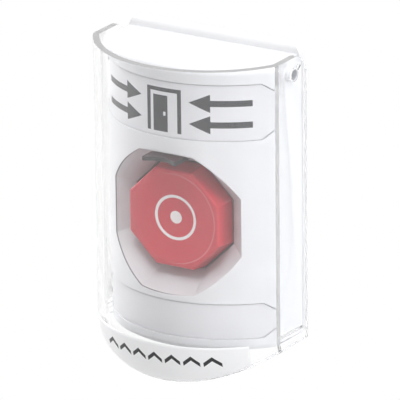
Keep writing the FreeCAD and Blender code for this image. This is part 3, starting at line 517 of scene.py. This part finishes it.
@dataclass(frozen=True)
class RecessedMoulding(Moulding):
    """Moulded plastic of a bowed housing, with painted shade on its recessed walls and a painted
    shadow line at the left of their mouth.
    """

    # Painted shade: the first colour greys the recessed walls, the second draws a painted shadow
    # line at their mouth.
    recess_shade: Colour = (0.635, 0.63, 0.655)
    shadow: Colour = (0.10, 0.10, 0.105)
    bow_arc: float = 47.265
    bow_axis: float = 6.965
    middle: float = -4.0
    reach: float = 30.0
    floor: float = -20.0
    skin: float = 0.1
    # Where the painted shadow line lies: its depth into the walls, and how it leans and fades out
    # to the right.
    shadow_line: float = 0.5
    shadow_line_lean: float = 0.3
    shadow_line_fade: Span = (-16.0, 2.0)

    def pigment(self, recipe: Recipe) -> Channel:
        """Return the colour, with painted shade and a painted shadow line set by the depth under
        the bowed front.
        """
        x, y, z = recipe.axes()
        depth = self.bow_arc - x.distance(y - self.bow_axis)
        near = (abs(x) < self.reach) * (abs(z - self.middle) < self.reach) * (y < self.floor)
        left = (x + z * self.shadow_line_lean).ramp(*self.shadow_line_fade, 1.0, 0.0)
        # Painted shade: the walls deeper than the skin are greyed.
        recess_shaded = recipe.blend((depth > self.skin) * near, super().pigment(recipe), self.recess_shade)
        # Painted shadow: a dark line along the mouth on its left and lower left, fading out to the
        # right.
        return recipe.blend(depth.within(self.skin, self.shadow_line) * near * left, recess_shaded, self.shadow)


@dataclass(frozen=True)
class ClearMoulding(Finish):
    """Clear or smoked plastic that lets lamps through and darkens along its edges."""

    colour: Colour = (1.0, 1.0, 1.0)
    roughness: float = 0.0
    haze: float = 0.02
    lamp_tint: Colour = (0.96, 0.96, 0.96)
    depth_tint: Colour = (0.9, 0.9, 0.92)
    density: float = 3.0
    clarity: float = 0.97
    wipes: float = 70.0
    wipe_stretch: Triple = (1.0, 1.0, 3.0)
    wipe_span: Span = (0.45, 0.75)

    def body(self, recipe: Recipe) -> Channel:
        """Return the shader that the camera sees."""
        wipes = recipe.noise(self.wipes, detail=5.0, rough=0.6, stretch=self.wipe_stretch)
        return recipe.plastic({
            "Base Color": self.colour, "Transmission Weight": self.clarity,
            "Roughness": wipes.ramp(*self.wipe_span) * self.haze + self.roughness})

    def dress(self, recipe: Recipe) -> None:
        """Fill the material's node tree."""
        lamps = recipe.node("ShaderNodeLightPath", output="Is Shadow Ray")
        film = recipe.node("ShaderNodeBsdfTransparent", {}, {"Color": self.lamp_tint})
        depth = recipe.node("ShaderNodeVolumeAbsorption", {}, {
            "Color": self.depth_tint, "Density": self.density})
        recipe.add("ShaderNodeOutputMaterial", inputs={
            "Surface": recipe.mix(lamps, self.body(recipe), film), "Volume": depth})


@dataclass(frozen=True)
class CoverMoulding(ClearMoulding):
    """Clear cover plastic, satin on its rim, other edges and front corners; grey painted shade on
    rim and corners, painted shadow in its slits.
    """

    rim: float = 62.3
    rim_share: float = 0.85
    corner: float = 41.25
    corner_front: float = -24.0
    corner_share: float = 0.44
    # Painted shade: grey on the rim and the front corners stands in for the dark lines that
    # internal reflection gives there.
    painted_edge_shade: Colour = (0.41, 0.405, 0.41)
    rear: float = -3.15
    side_low: float = -55.6
    lip_top: float = -50.6
    lip_middle: float = 10.4
    lip_arc: float = 78.15
    edge_share: float = 0.3
    satin_white: Colour = (0.84, 0.845, 0.85)
    satin_roughness: Span = (0.35, 0.45)
    satin_grain: float = 900.0
    hinge: HingeHole = HINGE
    slit_wall: Span = (-0.45, -0.25)
    slit_reach: Span = (2.9, 5.4)
    slit_share: float = 0.7
    # Colour of the painted shadow on the lower walls of the snap slits.
    painted_slit_shadow: Colour = (0.10, 0.10, 0.105)

    def slit(self, y: Channel, z: Channel) -> Channel:
        """Mask the lower walls of the snap slits, which get painted shadow.

        Args:
            y: Depth, in millimetres.
            z: Height, in millimetres.

        Returns:
            1 on those walls, else 0.
        """
        angle = math.radians(self.hinge.slit_angle)
        run, rise = math.cos(angle), math.sin(angle)
        back, up = y + self.hinge.depth, z - self.hinge.height
        along = back * run + up * rise
        across = up * run - back * rise
        return along.within(*self.slit_reach) * across.within(*self.slit_wall)

    def body(self, recipe: Recipe) -> Channel:
        """Return the shader that the camera sees."""
        x, y, z = recipe.axes()
        rim = z > self.rim
        corner = (abs(x) > self.corner) * (y < self.corner_front)
        lip = (x.distance(z - self.lip_middle) > self.lip_arc) * (z < self.lip_top)
        side = (z < self.side_low) * (y > self.corner_front)
        edge = lip.either(side).either(y > self.rear)
        slit = self.slit(y, z)
        # Painted shade: grey on the rim and corners, and satin white on the other edges.
        pale = recipe.blend(rim.either(corner), self.satin_white, self.painted_edge_shade)
        smooth, dull = self.satin_roughness
        satin = recipe.plastic({
            # Painted shadow on the lower walls of the snap slits.
            "Base Color": recipe.blend(slit, pale, self.painted_slit_shadow),
            "Roughness": recipe.noise(self.satin_grain, detail=2.0) * (dull - smooth) + smooth})
        share = (rim * self.rim_share).either(corner * self.corner_share)
        share = share.either(edge * self.edge_share).either(slit * self.slit_share)
        return recipe.mix(share, super().body(recipe), satin)


@dataclass(frozen=True)
class Metal(Finish):
    """Plated or drawn metal with fine tool marks."""

    colour: Colour = (0.6, 0.6, 0.6)
    tarnish: Colour = (0.4, 0.4, 0.38)
    roughness: float = 0.3
    grain: float = 3000.0
    stretch: Triple = (1.0, 1.0, 1.0)
    depth: float = 0.000003
    edge: float = 0.0001
    stains: float = 500.0
    stain_span: Span = (0.5, 0.8)
    stain_most: float = 0.5
    stain_dulling: float = 0.2
    mark_dulling: float = 0.15
    polish: float = 0.08

    def dress(self, recipe: Recipe) -> None:
        """Fill the material's node tree."""
        stains = recipe.noise(self.stains, detail=4.0).ramp(*self.stain_span, 0.0, self.stain_most)
        marks = recipe.noise(self.grain, detail=2.0, stretch=self.stretch)
        dulling = marks * self.mark_dulling + stains * self.stain_dulling
        recipe.surface(recipe.node("ShaderNodeBsdfPrincipled", {}, {
            "Base Color": recipe.blend(stains, self.colour, self.tarnish), "Metallic": 1.0,
            "Roughness": dulling + (self.roughness - self.polish),
            "Normal": recipe.relief(marks, self.depth, self.edge)}))


@dataclass(frozen=True)
class Laminate(Finish):
    """A circuit board's solder mask with copper tracks that show through it."""

    mask: Colour = (0.015, 0.09, 0.035)
    track: Colour = (0.03, 0.17, 0.06)
    row_pitch: float = 0.9
    row_width: float = 0.3
    column_pitch: float = 2.0
    column_width: float = 0.25
    fields: float = 160.0
    bare_share: float = 0.48
    roughness: float = 0.3
    track_dulling: float = 0.08
    depth: float = 0.00003

    def dress(self, recipe: Recipe) -> None:
        """Fill the material's node tree."""
        x, _, z = recipe.axes()
        rows = z.zigzag(self.row_pitch) < self.row_width
        columns = x.zigzag(self.column_pitch) < self.column_width
        lines = rows.either(columns) * (recipe.noise(self.fields, detail=0.0) > self.bare_share)
        recipe.surface(recipe.node("ShaderNodeBsdfPrincipled", {}, {
            "Base Color": recipe.blend(lines, self.mask, self.track),
            "Roughness": self.roughness + lines * self.track_dulling,
            "Normal": recipe.relief(lines, self.depth, 0.0)}))


WHITE = (0.83, 0.835, 0.86)
CARD = (0.80, 0.80, 0.83)
HOUSING = RecessedMoulding("housing_white", WHITE, 0.975, 0.42)
PEG = Moulding("peg_white", WHITE, 0.975, 0.42)
PLATE = Moulding("plate_white", (0.90, 0.90, 0.91), 0.98, 0.45)
UPPER_CARD = Moulding("upper_card_print", CARD, 0.98, 0.5, edge=0.0001, mark=Mark.DOORWAY,
                      ink=(0.025, 0.026, 0.03))
LOWER_CARD = Moulding("lower_card_stock", CARD, 0.98, 0.5, edge=0.0001)
LIP_FILM = Moulding("lip_film_print", (0.91, 0.91, 0.92), 0.98, 0.35, edge=0.0,
                    mark=Mark.CHEVRONS, ink=(0.02, 0.02, 0.022))
# The ink prints the ring and the dot, and also paints the faint highlight on the dish's edge.
RED = Moulding("button_red", (0.64, 0.035, 0.055), 0.92, 0.38, mark=Mark.TARGET,
               ink=(0.93, 0.88, 0.88))
CLEAR = CoverMoulding("clear_cover_plastic", haze=0.004)
SMOKED = ClearMoulding("smoked_lens_plastic", (0.62, 0.58, 0.60), 0.18, 0.1,
                       lamp_tint=(0.4, 0.38, 0.4), depth_tint=(0.45, 0.42, 0.44), density=200.0)
GREY = Moulding("carrier_grey", (0.42, 0.42, 0.44), 0.94, 0.5)
BLACK = Moulding("block_black", (0.012, 0.012, 0.014), 0.8, 0.45)
IVORY = Moulding("plunger_ivory", (0.66, 0.60, 0.46), 0.94, 0.4)
DIODE = Moulding("diode_resin", (0.75, 0.72, 0.5), 0.96, 0.25)
STEEL = Metal("zinc_plated_steel", (0.62, 0.62, 0.6), (0.38, 0.37, 0.33))
WIRE = Metal("drawn_wire", (0.5, 0.5, 0.52), (0.3, 0.3, 0.3), 0.28)
BRASS = Metal("contact_brass", (0.78, 0.57, 0.22), (0.42, 0.28, 0.1), stretch=(1.0, 1.0, 0.1))
BOARD = Laminate("board_laminate")

NODE_FINISHES: dict[str, Finish] = {
    "back_plate": PLATE,
    "housing": HOUSING,
    "upper_card": UPPER_CARD,
    "lower_card": LOWER_CARD,
    "indicator_lens": SMOKED,
    "indicator_board": BOARD,
    "indicator_diodes": DIODE,
    "board_screws": STEEL,
    "housing_screws": STEEL,
    "switch_carrier": GREY,
    "carrier_screws": STEEL,
    "terminal_screws": BRASS,
    "button_cap": RED,
    "button_stem": IVORY,
    "retaining_clip": WIRE,
    "return_spring": WIRE,
    "hinge_pin_left": PEG,
    "hinge_pin_right": PEG,
    "contact_block_nc": BLACK,
    "contact_block_no": BLACK,
    "nc_plunger": IVORY,
    "no_plunger": IVORY,
    "nc_bridge": BRASS,
    "no_bridge": BRASS,
    "nc_terminal_lower": BRASS,
    "nc_terminal_upper": BRASS,
    "no_terminal_lower": BRASS,
    "no_terminal_upper": BRASS,
}


# Pieces

FRAME: dict[str, Any] = {}


def stand(name: str, form: bmesh.types.BMesh) -> bpy.types.Object:
    """Turn a shape in millimetres into an object in metres, and free the shape.

    Args:
        name: The object's name.
        form: The shape.

    Returns:
        The object, at the origin.
    """
    bmesh.ops.scale(form, vec=(MM,) * 3, verts=form.verts)
    mesh = bpy.data.meshes.new(name)
    form.to_mesh(mesh)
    form.free()
    thing = bpy.data.objects.new(name, mesh)
    bpy.context.scene.collection.objects.link(thing)
    return thing


def settle(thing: bpy.types.Object) -> None:
    """Apply an object's modifiers.

    Args:
        thing: The object.
    """
    graph = bpy.context.evaluated_depsgraph_get()
    finished = bpy.data.meshes.new_from_object(thing.evaluated_get(graph))
    thing.modifiers.clear()
    rough = thing.data
    thing.data = finished
    finished.name = thing.name
    bpy.data.meshes.remove(rough)


def soften(thing: bpy.types.Object, width: float, degrees: float, segments: int = 3) -> None:
    """Round the sharp edges of an object.

    Args:
        thing: The object.
        width: Width of the rounding in millimetres.
        degrees: Edges that turn by more than this are rounded.
        segments: Steps across the rounding.
    """
    rounding = thing.modifiers.new("rounding", "BEVEL")
    rounding.width = width * MM
    rounding.segments = segments
    rounding.limit_method = "ANGLE"
    rounding.angle_limit = math.radians(degrees)
    rounding.harden_normals = True
    shading = thing.modifiers.new("shading", "WEIGHTED_NORMAL")
    shading.keep_sharp = True


def thicken(thing: bpy.types.Object, wall: float, even: bool = False) -> None:
    """Give a skin a wall behind its outer face.

    Args:
        thing: The skin's object.
        wall: Thickness of the wall in millimetres.
        even: Whether the wall keeps its thickness round sharp bends.
    """
    solid = thing.modifiers.new("wall", "SOLIDIFY")
    solid.thickness = wall * MM
    solid.offset = -1.0
    solid.use_even_offset = even


@dataclass
class Piece(ABC):
    """A visible piece that is shaped in millimetres and finished in metres."""

    name: str
    body: str
    slot: str
    finish: Finish
    stands_for: str

    @abstractmethod
    def shape(self, form: bmesh.types.BMesh) -> None:
        """Shape the piece in millimetres.

        Args:
            form: An empty mesh.
        """

    def trim(self, thing: bpy.types.Object) -> None:
        """Add the modifiers that finish the piece.

        Args:
            thing: The piece's object, in metres.
        """

    def make(self) -> bpy.types.Object:
        """Build, dress and mount the piece.

        Returns:
            The finished object.
        """
        form = bmesh.new()
        self.shape(form)
        thing = stand(self.name, form)
        thing.data.materials.append(self.finish.material())
        self.trim(thing)
        settle(thing)
        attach(thing, self.body)
        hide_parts(self.stands_for)
        log.info("%s: %d faces", self.name, len(thing.data.polygons))
        return thing


@dataclass
class BowedSheet(Piece):
    """A sheet that follows the cover's bowed front and curled lip."""

    front: float = 50.3
    half_width: float = 42.0
    top: float = 62.4
    low: float = -68.0
    chin_start: float = -49.0
    chin_arc: float = 33.54
    chin_spare: float = 0.02
    chin_steps: int = 16
    bow_arc: float = 46.884
    bow_half_turn: float = 70.0
    bow_steps: int = 120
    edge_arc: float = 78.4
    edge_steps: int = 24

    def sweep(self, form: bmesh.types.BMesh, lift: float = 0.0) -> None:
        """Spin the profile about the bow's axis.

        Args:
            form: The mesh to add to.
            lift: How far the sheet lies in front of the cover's face.
        """
        face = -self.front - lift
        upper = form.verts.new((0.0, face, self.top))
        lower = form.verts.new((0.0, face, self.chin_start))
        form.edges.new((upper, lower))
        curl = math.asin((self.chin_start - self.low) / self.chin_arc) + self.chin_spare
        bmesh.ops.spin(form, geom=[lower], cent=(0.0, self.chin_arc - self.front, self.chin_start),
                       axis=(1.0, 0.0, 0.0), angle=curl, steps=self.chin_steps)
        bmesh.ops.remove_doubles(form, verts=form.verts, dist=WELD)
        axis = (0.0, self.bow_arc - self.front, 0.0)
        half_turn = math.radians(self.bow_half_turn)
        start = Matrix.Rotation(-half_turn, 3, "Z")
        bmesh.ops.rotate(form, verts=form.verts, cent=axis, matrix=start)
        bmesh.ops.spin(form, geom=form.verts[:] + form.edges[:], cent=axis, axis=(0.0, 0.0, 1.0),
                       angle=2 * half_turn, steps=self.bow_steps)
        bmesh.ops.remove_doubles(form, verts=form.verts, dist=WELD)

    def slice(self, form: bmesh.types.BMesh, point: Sequence[float],
              normal: Sequence[float]) -> None:
        """Cut away what lies beyond a plane.

        Args:
            form: The mesh.
            point: A point on the plane.
            normal: Direction of the side that is cut away.
        """
        bmesh.ops.bisect_plane(form, geom=form.verts[:] + form.edges[:] + form.faces[:],
                               dist=PLANE_SLACK, plane_co=point, plane_no=normal,
                               clear_outer=True)

    def trim_sides(self, form: bmesh.types.BMesh, margin: float = 0.0) -> None:
        """Trim both sides upright.

        Args:
            form: The mesh.
            margin: How far the sides lie within the cover's own.
        """
        for side in (-1.0, 1.0):
            self.slice(form, (side * (self.half_width - margin), 0.0, 0.0), (side, 0.0, 0.0))

    def trim_lip(self, form: bmesh.types.BMesh, rise: float = 0.0) -> None:
        """Trim the lower edge to its drooping arc.

        Args:
            form: The mesh.
            rise: How far the edge lies above the cover's own.
        """
        radius = self.edge_arc - rise
        centre = self.low + self.edge_arc
        widest = math.degrees(math.asin(self.half_width / radius))
        for step in range(-self.edge_steps, self.edge_steps + 1):
            angle = math.radians(widest * step / self.edge_steps)
            outwards = (math.sin(angle), 0.0, -math.cos(angle))
            point = (radius * outwards[0], 0.0, centre + radius * outwards[2])
            self.slice(form, point, outwards)

    def face_outwards(self, form: bmesh.types.BMesh) -> None:
        """Point the faces away from the wall and shade them smoothly.

        Args:
            form: The mesh.
        """
        bmesh.ops.recalc_face_normals(form, faces=form.faces)
        foremost = min(form.faces, key=lambda face: face.calc_center_median().y)
        if foremost.normal.y > 0.0:
            bmesh.ops.reverse_faces(form, faces=form.faces)
        for face in form.faces:
            face.smooth = True


@dataclass
class ClearCover(BowedSheet):
    """The clear cover: bowed front, two sides with ears, curled lip."""

    back: float = 3.0
    wall: float = 2.6
    ear_radius: float = 8.9
    ear_steps: int = 24
    hole_sides: int = 96
    rounding: float = 0.2
    rounded_from: float = 35.0
    hinge: HingeHole = HINGE

    def shape(self, form: bmesh.types.BMesh) -> None:
        """Shape the outer skin."""
        self.sweep(form)
        self.trim_sides(form)
        self.trim_lip(form)
        self.extend_sides(form)
        self.round_ears(form)
        bmesh.ops.remove_doubles(form, verts=form.verts, dist=WELD)
        self.face_outwards(form)

    def extend_sides(self, form: bmesh.types.BMesh) -> None:
        """Draw the front's side edges straight back to the wall.

        Args:
            form: The mesh.
        """
        for side in (-1.0, 1.0):
            rim = [edge for edge in form.edges if edge.is_boundary
                   and all(abs(v.co.x - side * self.half_width) < 10 * WELD for v in edge.verts)]
            grown = bmesh.ops.extrude_edge_only(form, edges=rim)["geom"]
            for vert in (item for item in grown if isinstance(item, bmesh.types.BMVert)):
                vert.co.y = -self.back

    def round_ears(self, form: bmesh.types.BMesh) -> None:
        """Round the upper rear corner of both sides.

        Args:
            form: The mesh.
        """
        centre = Vector((0.0, -self.back - self.ear_radius, self.top - self.ear_radius))
        for step in range(1, self.ear_steps):
            angle = math.radians(90.0 * step / self.ear_steps)
            outwards = Vector((0.0, math.cos(angle), math.sin(angle)))
            self.slice(form, centre + outwards * self.ear_radius, outwards)

    def hole(self, form: bmesh.types.BMesh) -> None:
        """Shape a rod as wide as the hinge holes."""
        radius = self.hinge.radius
        bmesh.ops.create_cone(form, cap_ends=True, segments=self.hole_sides, radius1=radius,
                              radius2=radius, depth=3 * self.half_width)
        bmesh.ops.rotate(form, verts=form.verts, matrix=Matrix.Rotation(math.pi / 2, 3, "Y"))

    def slit(self, form: bmesh.types.BMesh) -> None:
        """Shape a bar as thick as the snap slits."""
        reach = self.hinge.radius + self.hinge.slit_length
        tilt = Matrix.Rotation(math.radians(self.hinge.slit_angle), 3, "X")
        bmesh.ops.create_cube(form, size=1.0)
        bmesh.ops.scale(form, vec=(3 * self.half_width, reach, self.hinge.slit_width),
                        verts=form.verts)
        bmesh.ops.translate(form, vec=(0.0, reach / 2, 0.0), verts=form.verts)
        bmesh.ops.rotate(form, verts=form.verts, matrix=tilt)

    def cutter(self, name: str, shape: Callable[[bmesh.types.BMesh], None]) -> bpy.types.Object:
        """Make a tool that cuts both ears on the hinge's axis.

        Args:
            name: Name of the tool.
            shape: What shapes it, on the X axis.

        Returns:
            The tool, in metres.
        """
        form = bmesh.new()
        shape(form)
        bmesh.ops.translate(form, vec=(0.0, -self.hinge.depth, self.hinge.height),
                            verts=form.verts)
        return stand(name, form)

    def trim(self, thing: bpy.types.Object) -> None:
        """Give the skin its wall, round its edges and cut the ears."""
        thicken(thing, self.wall, even=True)
        soften(thing, self.rounding, self.rounded_from)
        tools = [self.cutter("hole_tool", self.hole), self.cutter("slit_tool", self.slit)]
        for tool in tools:
            cut = thing.modifiers.new("cut", "BOOLEAN")
            cut.object = tool
            cut.operation = "DIFFERENCE"
            cut.solver = "EXACT"
        settle(thing)
        for tool in tools:
            bpy.data.objects.remove(tool)


@dataclass
class LipLabel(BowedSheet):
    """The printed film on the lip's outer face."""

    lift: float = 0.28
    film: float = 0.23
    margin: float = 7.5
    drop: float = 1.5
    edge: float = 0.5

    def shape(self, form: bmesh.types.BMesh) -> None:
        """Shape the film's outer face."""
        self.sweep(form, self.lift)
        self.trim_sides(form, self.margin)
        self.slice(form, (0.0, 0.0, self.chin_start - self.drop), (0.0, 0.0, 1.0))
        self.trim_lip(form, self.edge)
        self.face_outwards(form)

    def trim(self, thing: bpy.types.Object) -> None:
        """Give the film its thickness."""
        thicken(thing, self.film)


@dataclass
class ButtonCap(Piece):
    """The button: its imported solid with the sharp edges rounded."""

    rounding: float = 0.3
    rounded_from: float = 35.0
    segments: int = 2
    crease: float = 8.0
    weld: float = 0.002
    flat_within: float = 0.5

    def shape(self, form: bmesh.types.BMesh) -> None:
        """Copy the solid, merge its loose triangles and clear its flat faces."""
        form.from_mesh(FRAME["nodes"][self.stands_for].data)
        bmesh.ops.scale(form, vec=(1 / MM,) * 3, verts=form.verts)
        bmesh.ops.remove_doubles(form, verts=form.verts, dist=self.weld)
        bmesh.ops.dissolve_limit(form, angle_limit=math.radians(self.flat_within),
                                 verts=form.verts, edges=form.edges)
        for face in form.faces:
            face.smooth = True
        for edge in form.edges:
            edge.smooth = edge.calc_face_angle(0.0) < math.radians(self.crease)

    def trim(self, thing: bpy.types.Object) -> None:
        """Round the edges."""
        soften(thing, self.rounding, self.rounded_from, self.segments)


@dataclass
class ReturnSpring(Piece):
    """The button's return spring."""

    wire: float = 1.1
    turns: float = 4.5
    turn_steps: int = 48
    wire_sides: int = 16
    joint: str = "button_press"

    def shape(self, form: bmesh.types.BMesh) -> None:
        """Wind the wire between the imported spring's ends."""
        low, high = (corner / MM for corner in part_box(self.stands_for))
        middle = (low + high) / 2
        start = Vector((middle.x, low.y + self.wire / 2, middle.z))
        reach = Vector(((high.x - low.x - self.wire) / 2, 0.0, 0.0))
        count = round(self.turns * self.turn_steps)
        rise = (high.y - low.y - self.wire) / count
        bmesh.ops.create_circle(form, segments=self.wire_sides, radius=self.wire / 2)
        bmesh.ops.translate(form, vec=start + reach, verts=form.verts)
        bmesh.ops.spin(form, geom=form.edges[:], cent=start, axis=(0.0, 1.0, 0.0),
                       dvec=(0.0, rise, 0.0), angle=math.tau * self.turns, steps=count)
        bmesh.ops.holes_fill(form, edges=[edge for edge in form.edges if edge.is_boundary])
        bmesh.ops.recalc_face_normals(form, faces=form.faces)
        for face in form.faces:
            face.smooth = len(face.verts) < self.wire_sides

    def make(self) -> bpy.types.Object:
        """Build the spring and give it a mesh of its own.

        Returns:
            The finished object.
        """
        thing = super().make()
        front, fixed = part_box(self.stands_for)
        joint = next(item for item in FRAME["joints"] if item["name"] == self.joint)
        travel = max(joint["range_m"])
        1.0 - travel / (fixed.y - front.y)
        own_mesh(thing)
        return thing


# Studio


@dataclass
class Lamp:
    """A soft rectangular lamp that points at the object, placed and sized in metres."""

    name: str
    place: Triple
    size: Span
    watts: float
    colour: Colour = (1.0, 1.0, 1.0)
    aim: Triple = (0.0, -0.02, 0.0)

    def make(self) -> None:
        """Hang the lamp."""
        light = bpy.data.lights.new(self.name, "AREA")
        light.shape = "RECTANGLE"
        light.size, light.size_y = self.size
        light.energy = self.watts
        light.color = self.colour
        thing = bpy.data.objects.new(self.name, light)
        thing.location = self.place
        towards = Vector(self.aim) - Vector(self.place)
        thing.rotation_euler = towards.to_track_quat("-Z", "Y").to_euler()
        bpy.context.scene.collection.objects.link(thing)


@dataclass
class Studio:
    """Camera, lamps, floor and background, in millimetres and degrees.

    The lamps and the depths that the camera sees are in metres.
    """

    yaw: float = 31.75
    pitch: float = 19.65
    roll: float = -0.68
    distance: float = 2216.5
    aside: float = -5.79
    above: float = -0.06
    origin: Triple = (0.0, -3.5, -6.0)
    lens: float = 506.3
    sensor: float = 36.0
    seen_depths: Span = (0.1, 50.0)
    floor_height: float = -300.0
    floor_reach: float = 3000.0
    floor_paint: Colour = (0.8, 0.8, 0.8)
    world_light: float = 0.55
    bounces: int = 24
    mirror_bounces: int = 16
    lamps: list[Lamp] = field(default_factory=lambda: [
        Lamp("right", (1.0, 0.0, 0.25), (0.6, 0.8), 4.8, (0.97, 0.985, 1.0)),
        Lamp("left", (-1.0, 0.15, 0.25), (0.5, 0.8), 6.0),
        Lamp("top", (0.0, -0.1, 1.1), (0.7, 0.6), 3.8),
        Lamp("front", (0.15, -0.52, 0.95), (0.2, 0.2), 2.6),
    ])

    def camera(self) -> None:
        """Set up the camera at the photograph's viewing angle."""
        yaw, pitch, roll = (math.radians(turn) for turn in (self.yaw, self.pitch, self.roll))
        back = Vector((math.sin(yaw) * math.cos(pitch), -math.cos(yaw) * math.cos(pitch),
                       math.sin(pitch)))
        level = Vector((math.cos(yaw), math.sin(yaw), 0.0))
        raised = back.cross(level)
        right = level * math.cos(roll) + raised * math.sin(roll)
        up = raised * math.cos(roll) - level * math.sin(roll)
        at = Vector(self.origin) + back * self.distance + right * self.aside + up * self.above
        data = bpy.data.cameras.new("camera")
        data.lens = self.lens
        data.sensor_width = self.sensor
        data.clip_start, data.clip_end = self.seen_depths
        eye = bpy.data.objects.new("camera", data)
        facing = Matrix((right, up, back)).transposed().to_4x4()
        eye.matrix_world = Matrix.Translation(at * MM) @ facing
        bpy.context.scene.collection.objects.link(eye)
        bpy.context.scene.camera = eye

    def seen(self, recipe: Recipe) -> Channel:
        """Return 1 for rays that show the background: direct, mirrored or through glass."""
        path = recipe.add("ShaderNodeLightPath").outputs
        seen = Channel(recipe, path["Is Camera Ray"])
        for name in ("Is Glossy Ray", "Is Transmission Ray"):
            seen = seen.either(Channel(recipe, path[name]))
        return seen * (Channel(recipe, path["Diffuse Depth"]) < 0.5)

    def background(self) -> None:
        """Make the background white and the light from it soft."""
        world = bpy.data.worlds.new("background")
        world.use_nodes = True
        recipe = Recipe(world.node_tree)
        soft, white = (
            recipe.node("ShaderNodeBackground", {}, {"Color": (1.0, 1.0, 1.0), "Strength": light})
            for light in (self.world_light, 1.0))
        recipe.add("ShaderNodeOutputWorld", inputs={
            "Surface": recipe.mix(self.seen(recipe), soft, white)})
        bpy.context.scene.world = world

    def floor(self) -> None:
        """Lay a pale floor well under the object."""
        form = bmesh.new()
        bmesh.ops.create_grid(form, x_segments=1, y_segments=1, size=self.floor_reach)
        bmesh.ops.translate(form, vec=(0.0, 0.0, self.floor_height), verts=form.verts)
        thing = stand("floor", form)
        material = bpy.data.materials.new("floor_white")
        material.use_nodes = True
        recipe = Recipe(material.node_tree)
        paint = recipe.node("ShaderNodeBsdfDiffuse", {}, {"Color": self.floor_paint})
        white = recipe.node("ShaderNodeEmission", {}, {"Color": (1.0, 1.0, 1.0)})
        recipe.surface(recipe.mix(self.seen(recipe), paint, white))
        thing.data.materials.append(material)

    def make(self) -> None:
        """Set up the whole studio."""
        self.camera()
        self.background()
        self.floor()
        for lamp in self.lamps:
            lamp.make()
        scene = bpy.context.scene
        scene.view_settings.view_transform = "Standard"
        scene.cycles.max_bounces = self.bounces
        scene.cycles.glossy_bounces = self.mirror_bounces
        scene.cycles.transmission_bounces = self.bounces


def dress_nodes(nodes: dict[str, bpy.types.Object]) -> None:
    """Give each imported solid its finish.

    Args:
        nodes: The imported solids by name.
    """
    for name, finish in NODE_FINISHES.items():
        for place in nodes[name].material_slots:
            place.material = finish.material()
        log.info("%s: %s", name, finish.name)


def pieces() -> Iterable[Piece]:
    """Yield the pieces in the order in which they are made."""
    yield ClearCover("cover", "cover", "clear_moulding", CLEAR, "clear_cover")
    yield LipLabel("lip_label", "cover", "printed_film", LIP_FILM, "lift_label")
    yield ButtonCap("button", "button", "red_moulding", RED, "button_cap")
    yield ReturnSpring("spring", "base", "spring_steel", WIRE, "return_spring")


def main() -> None:
    """Build the scene."""
    logging.basicConfig(level=logging.INFO, format="%(message)s")
    FRAME.update(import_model())
    dress_nodes(FRAME["nodes"])
    for piece in pieces():
        piece.make()
    Studio().make()


if __name__ == "__main__":
    main()
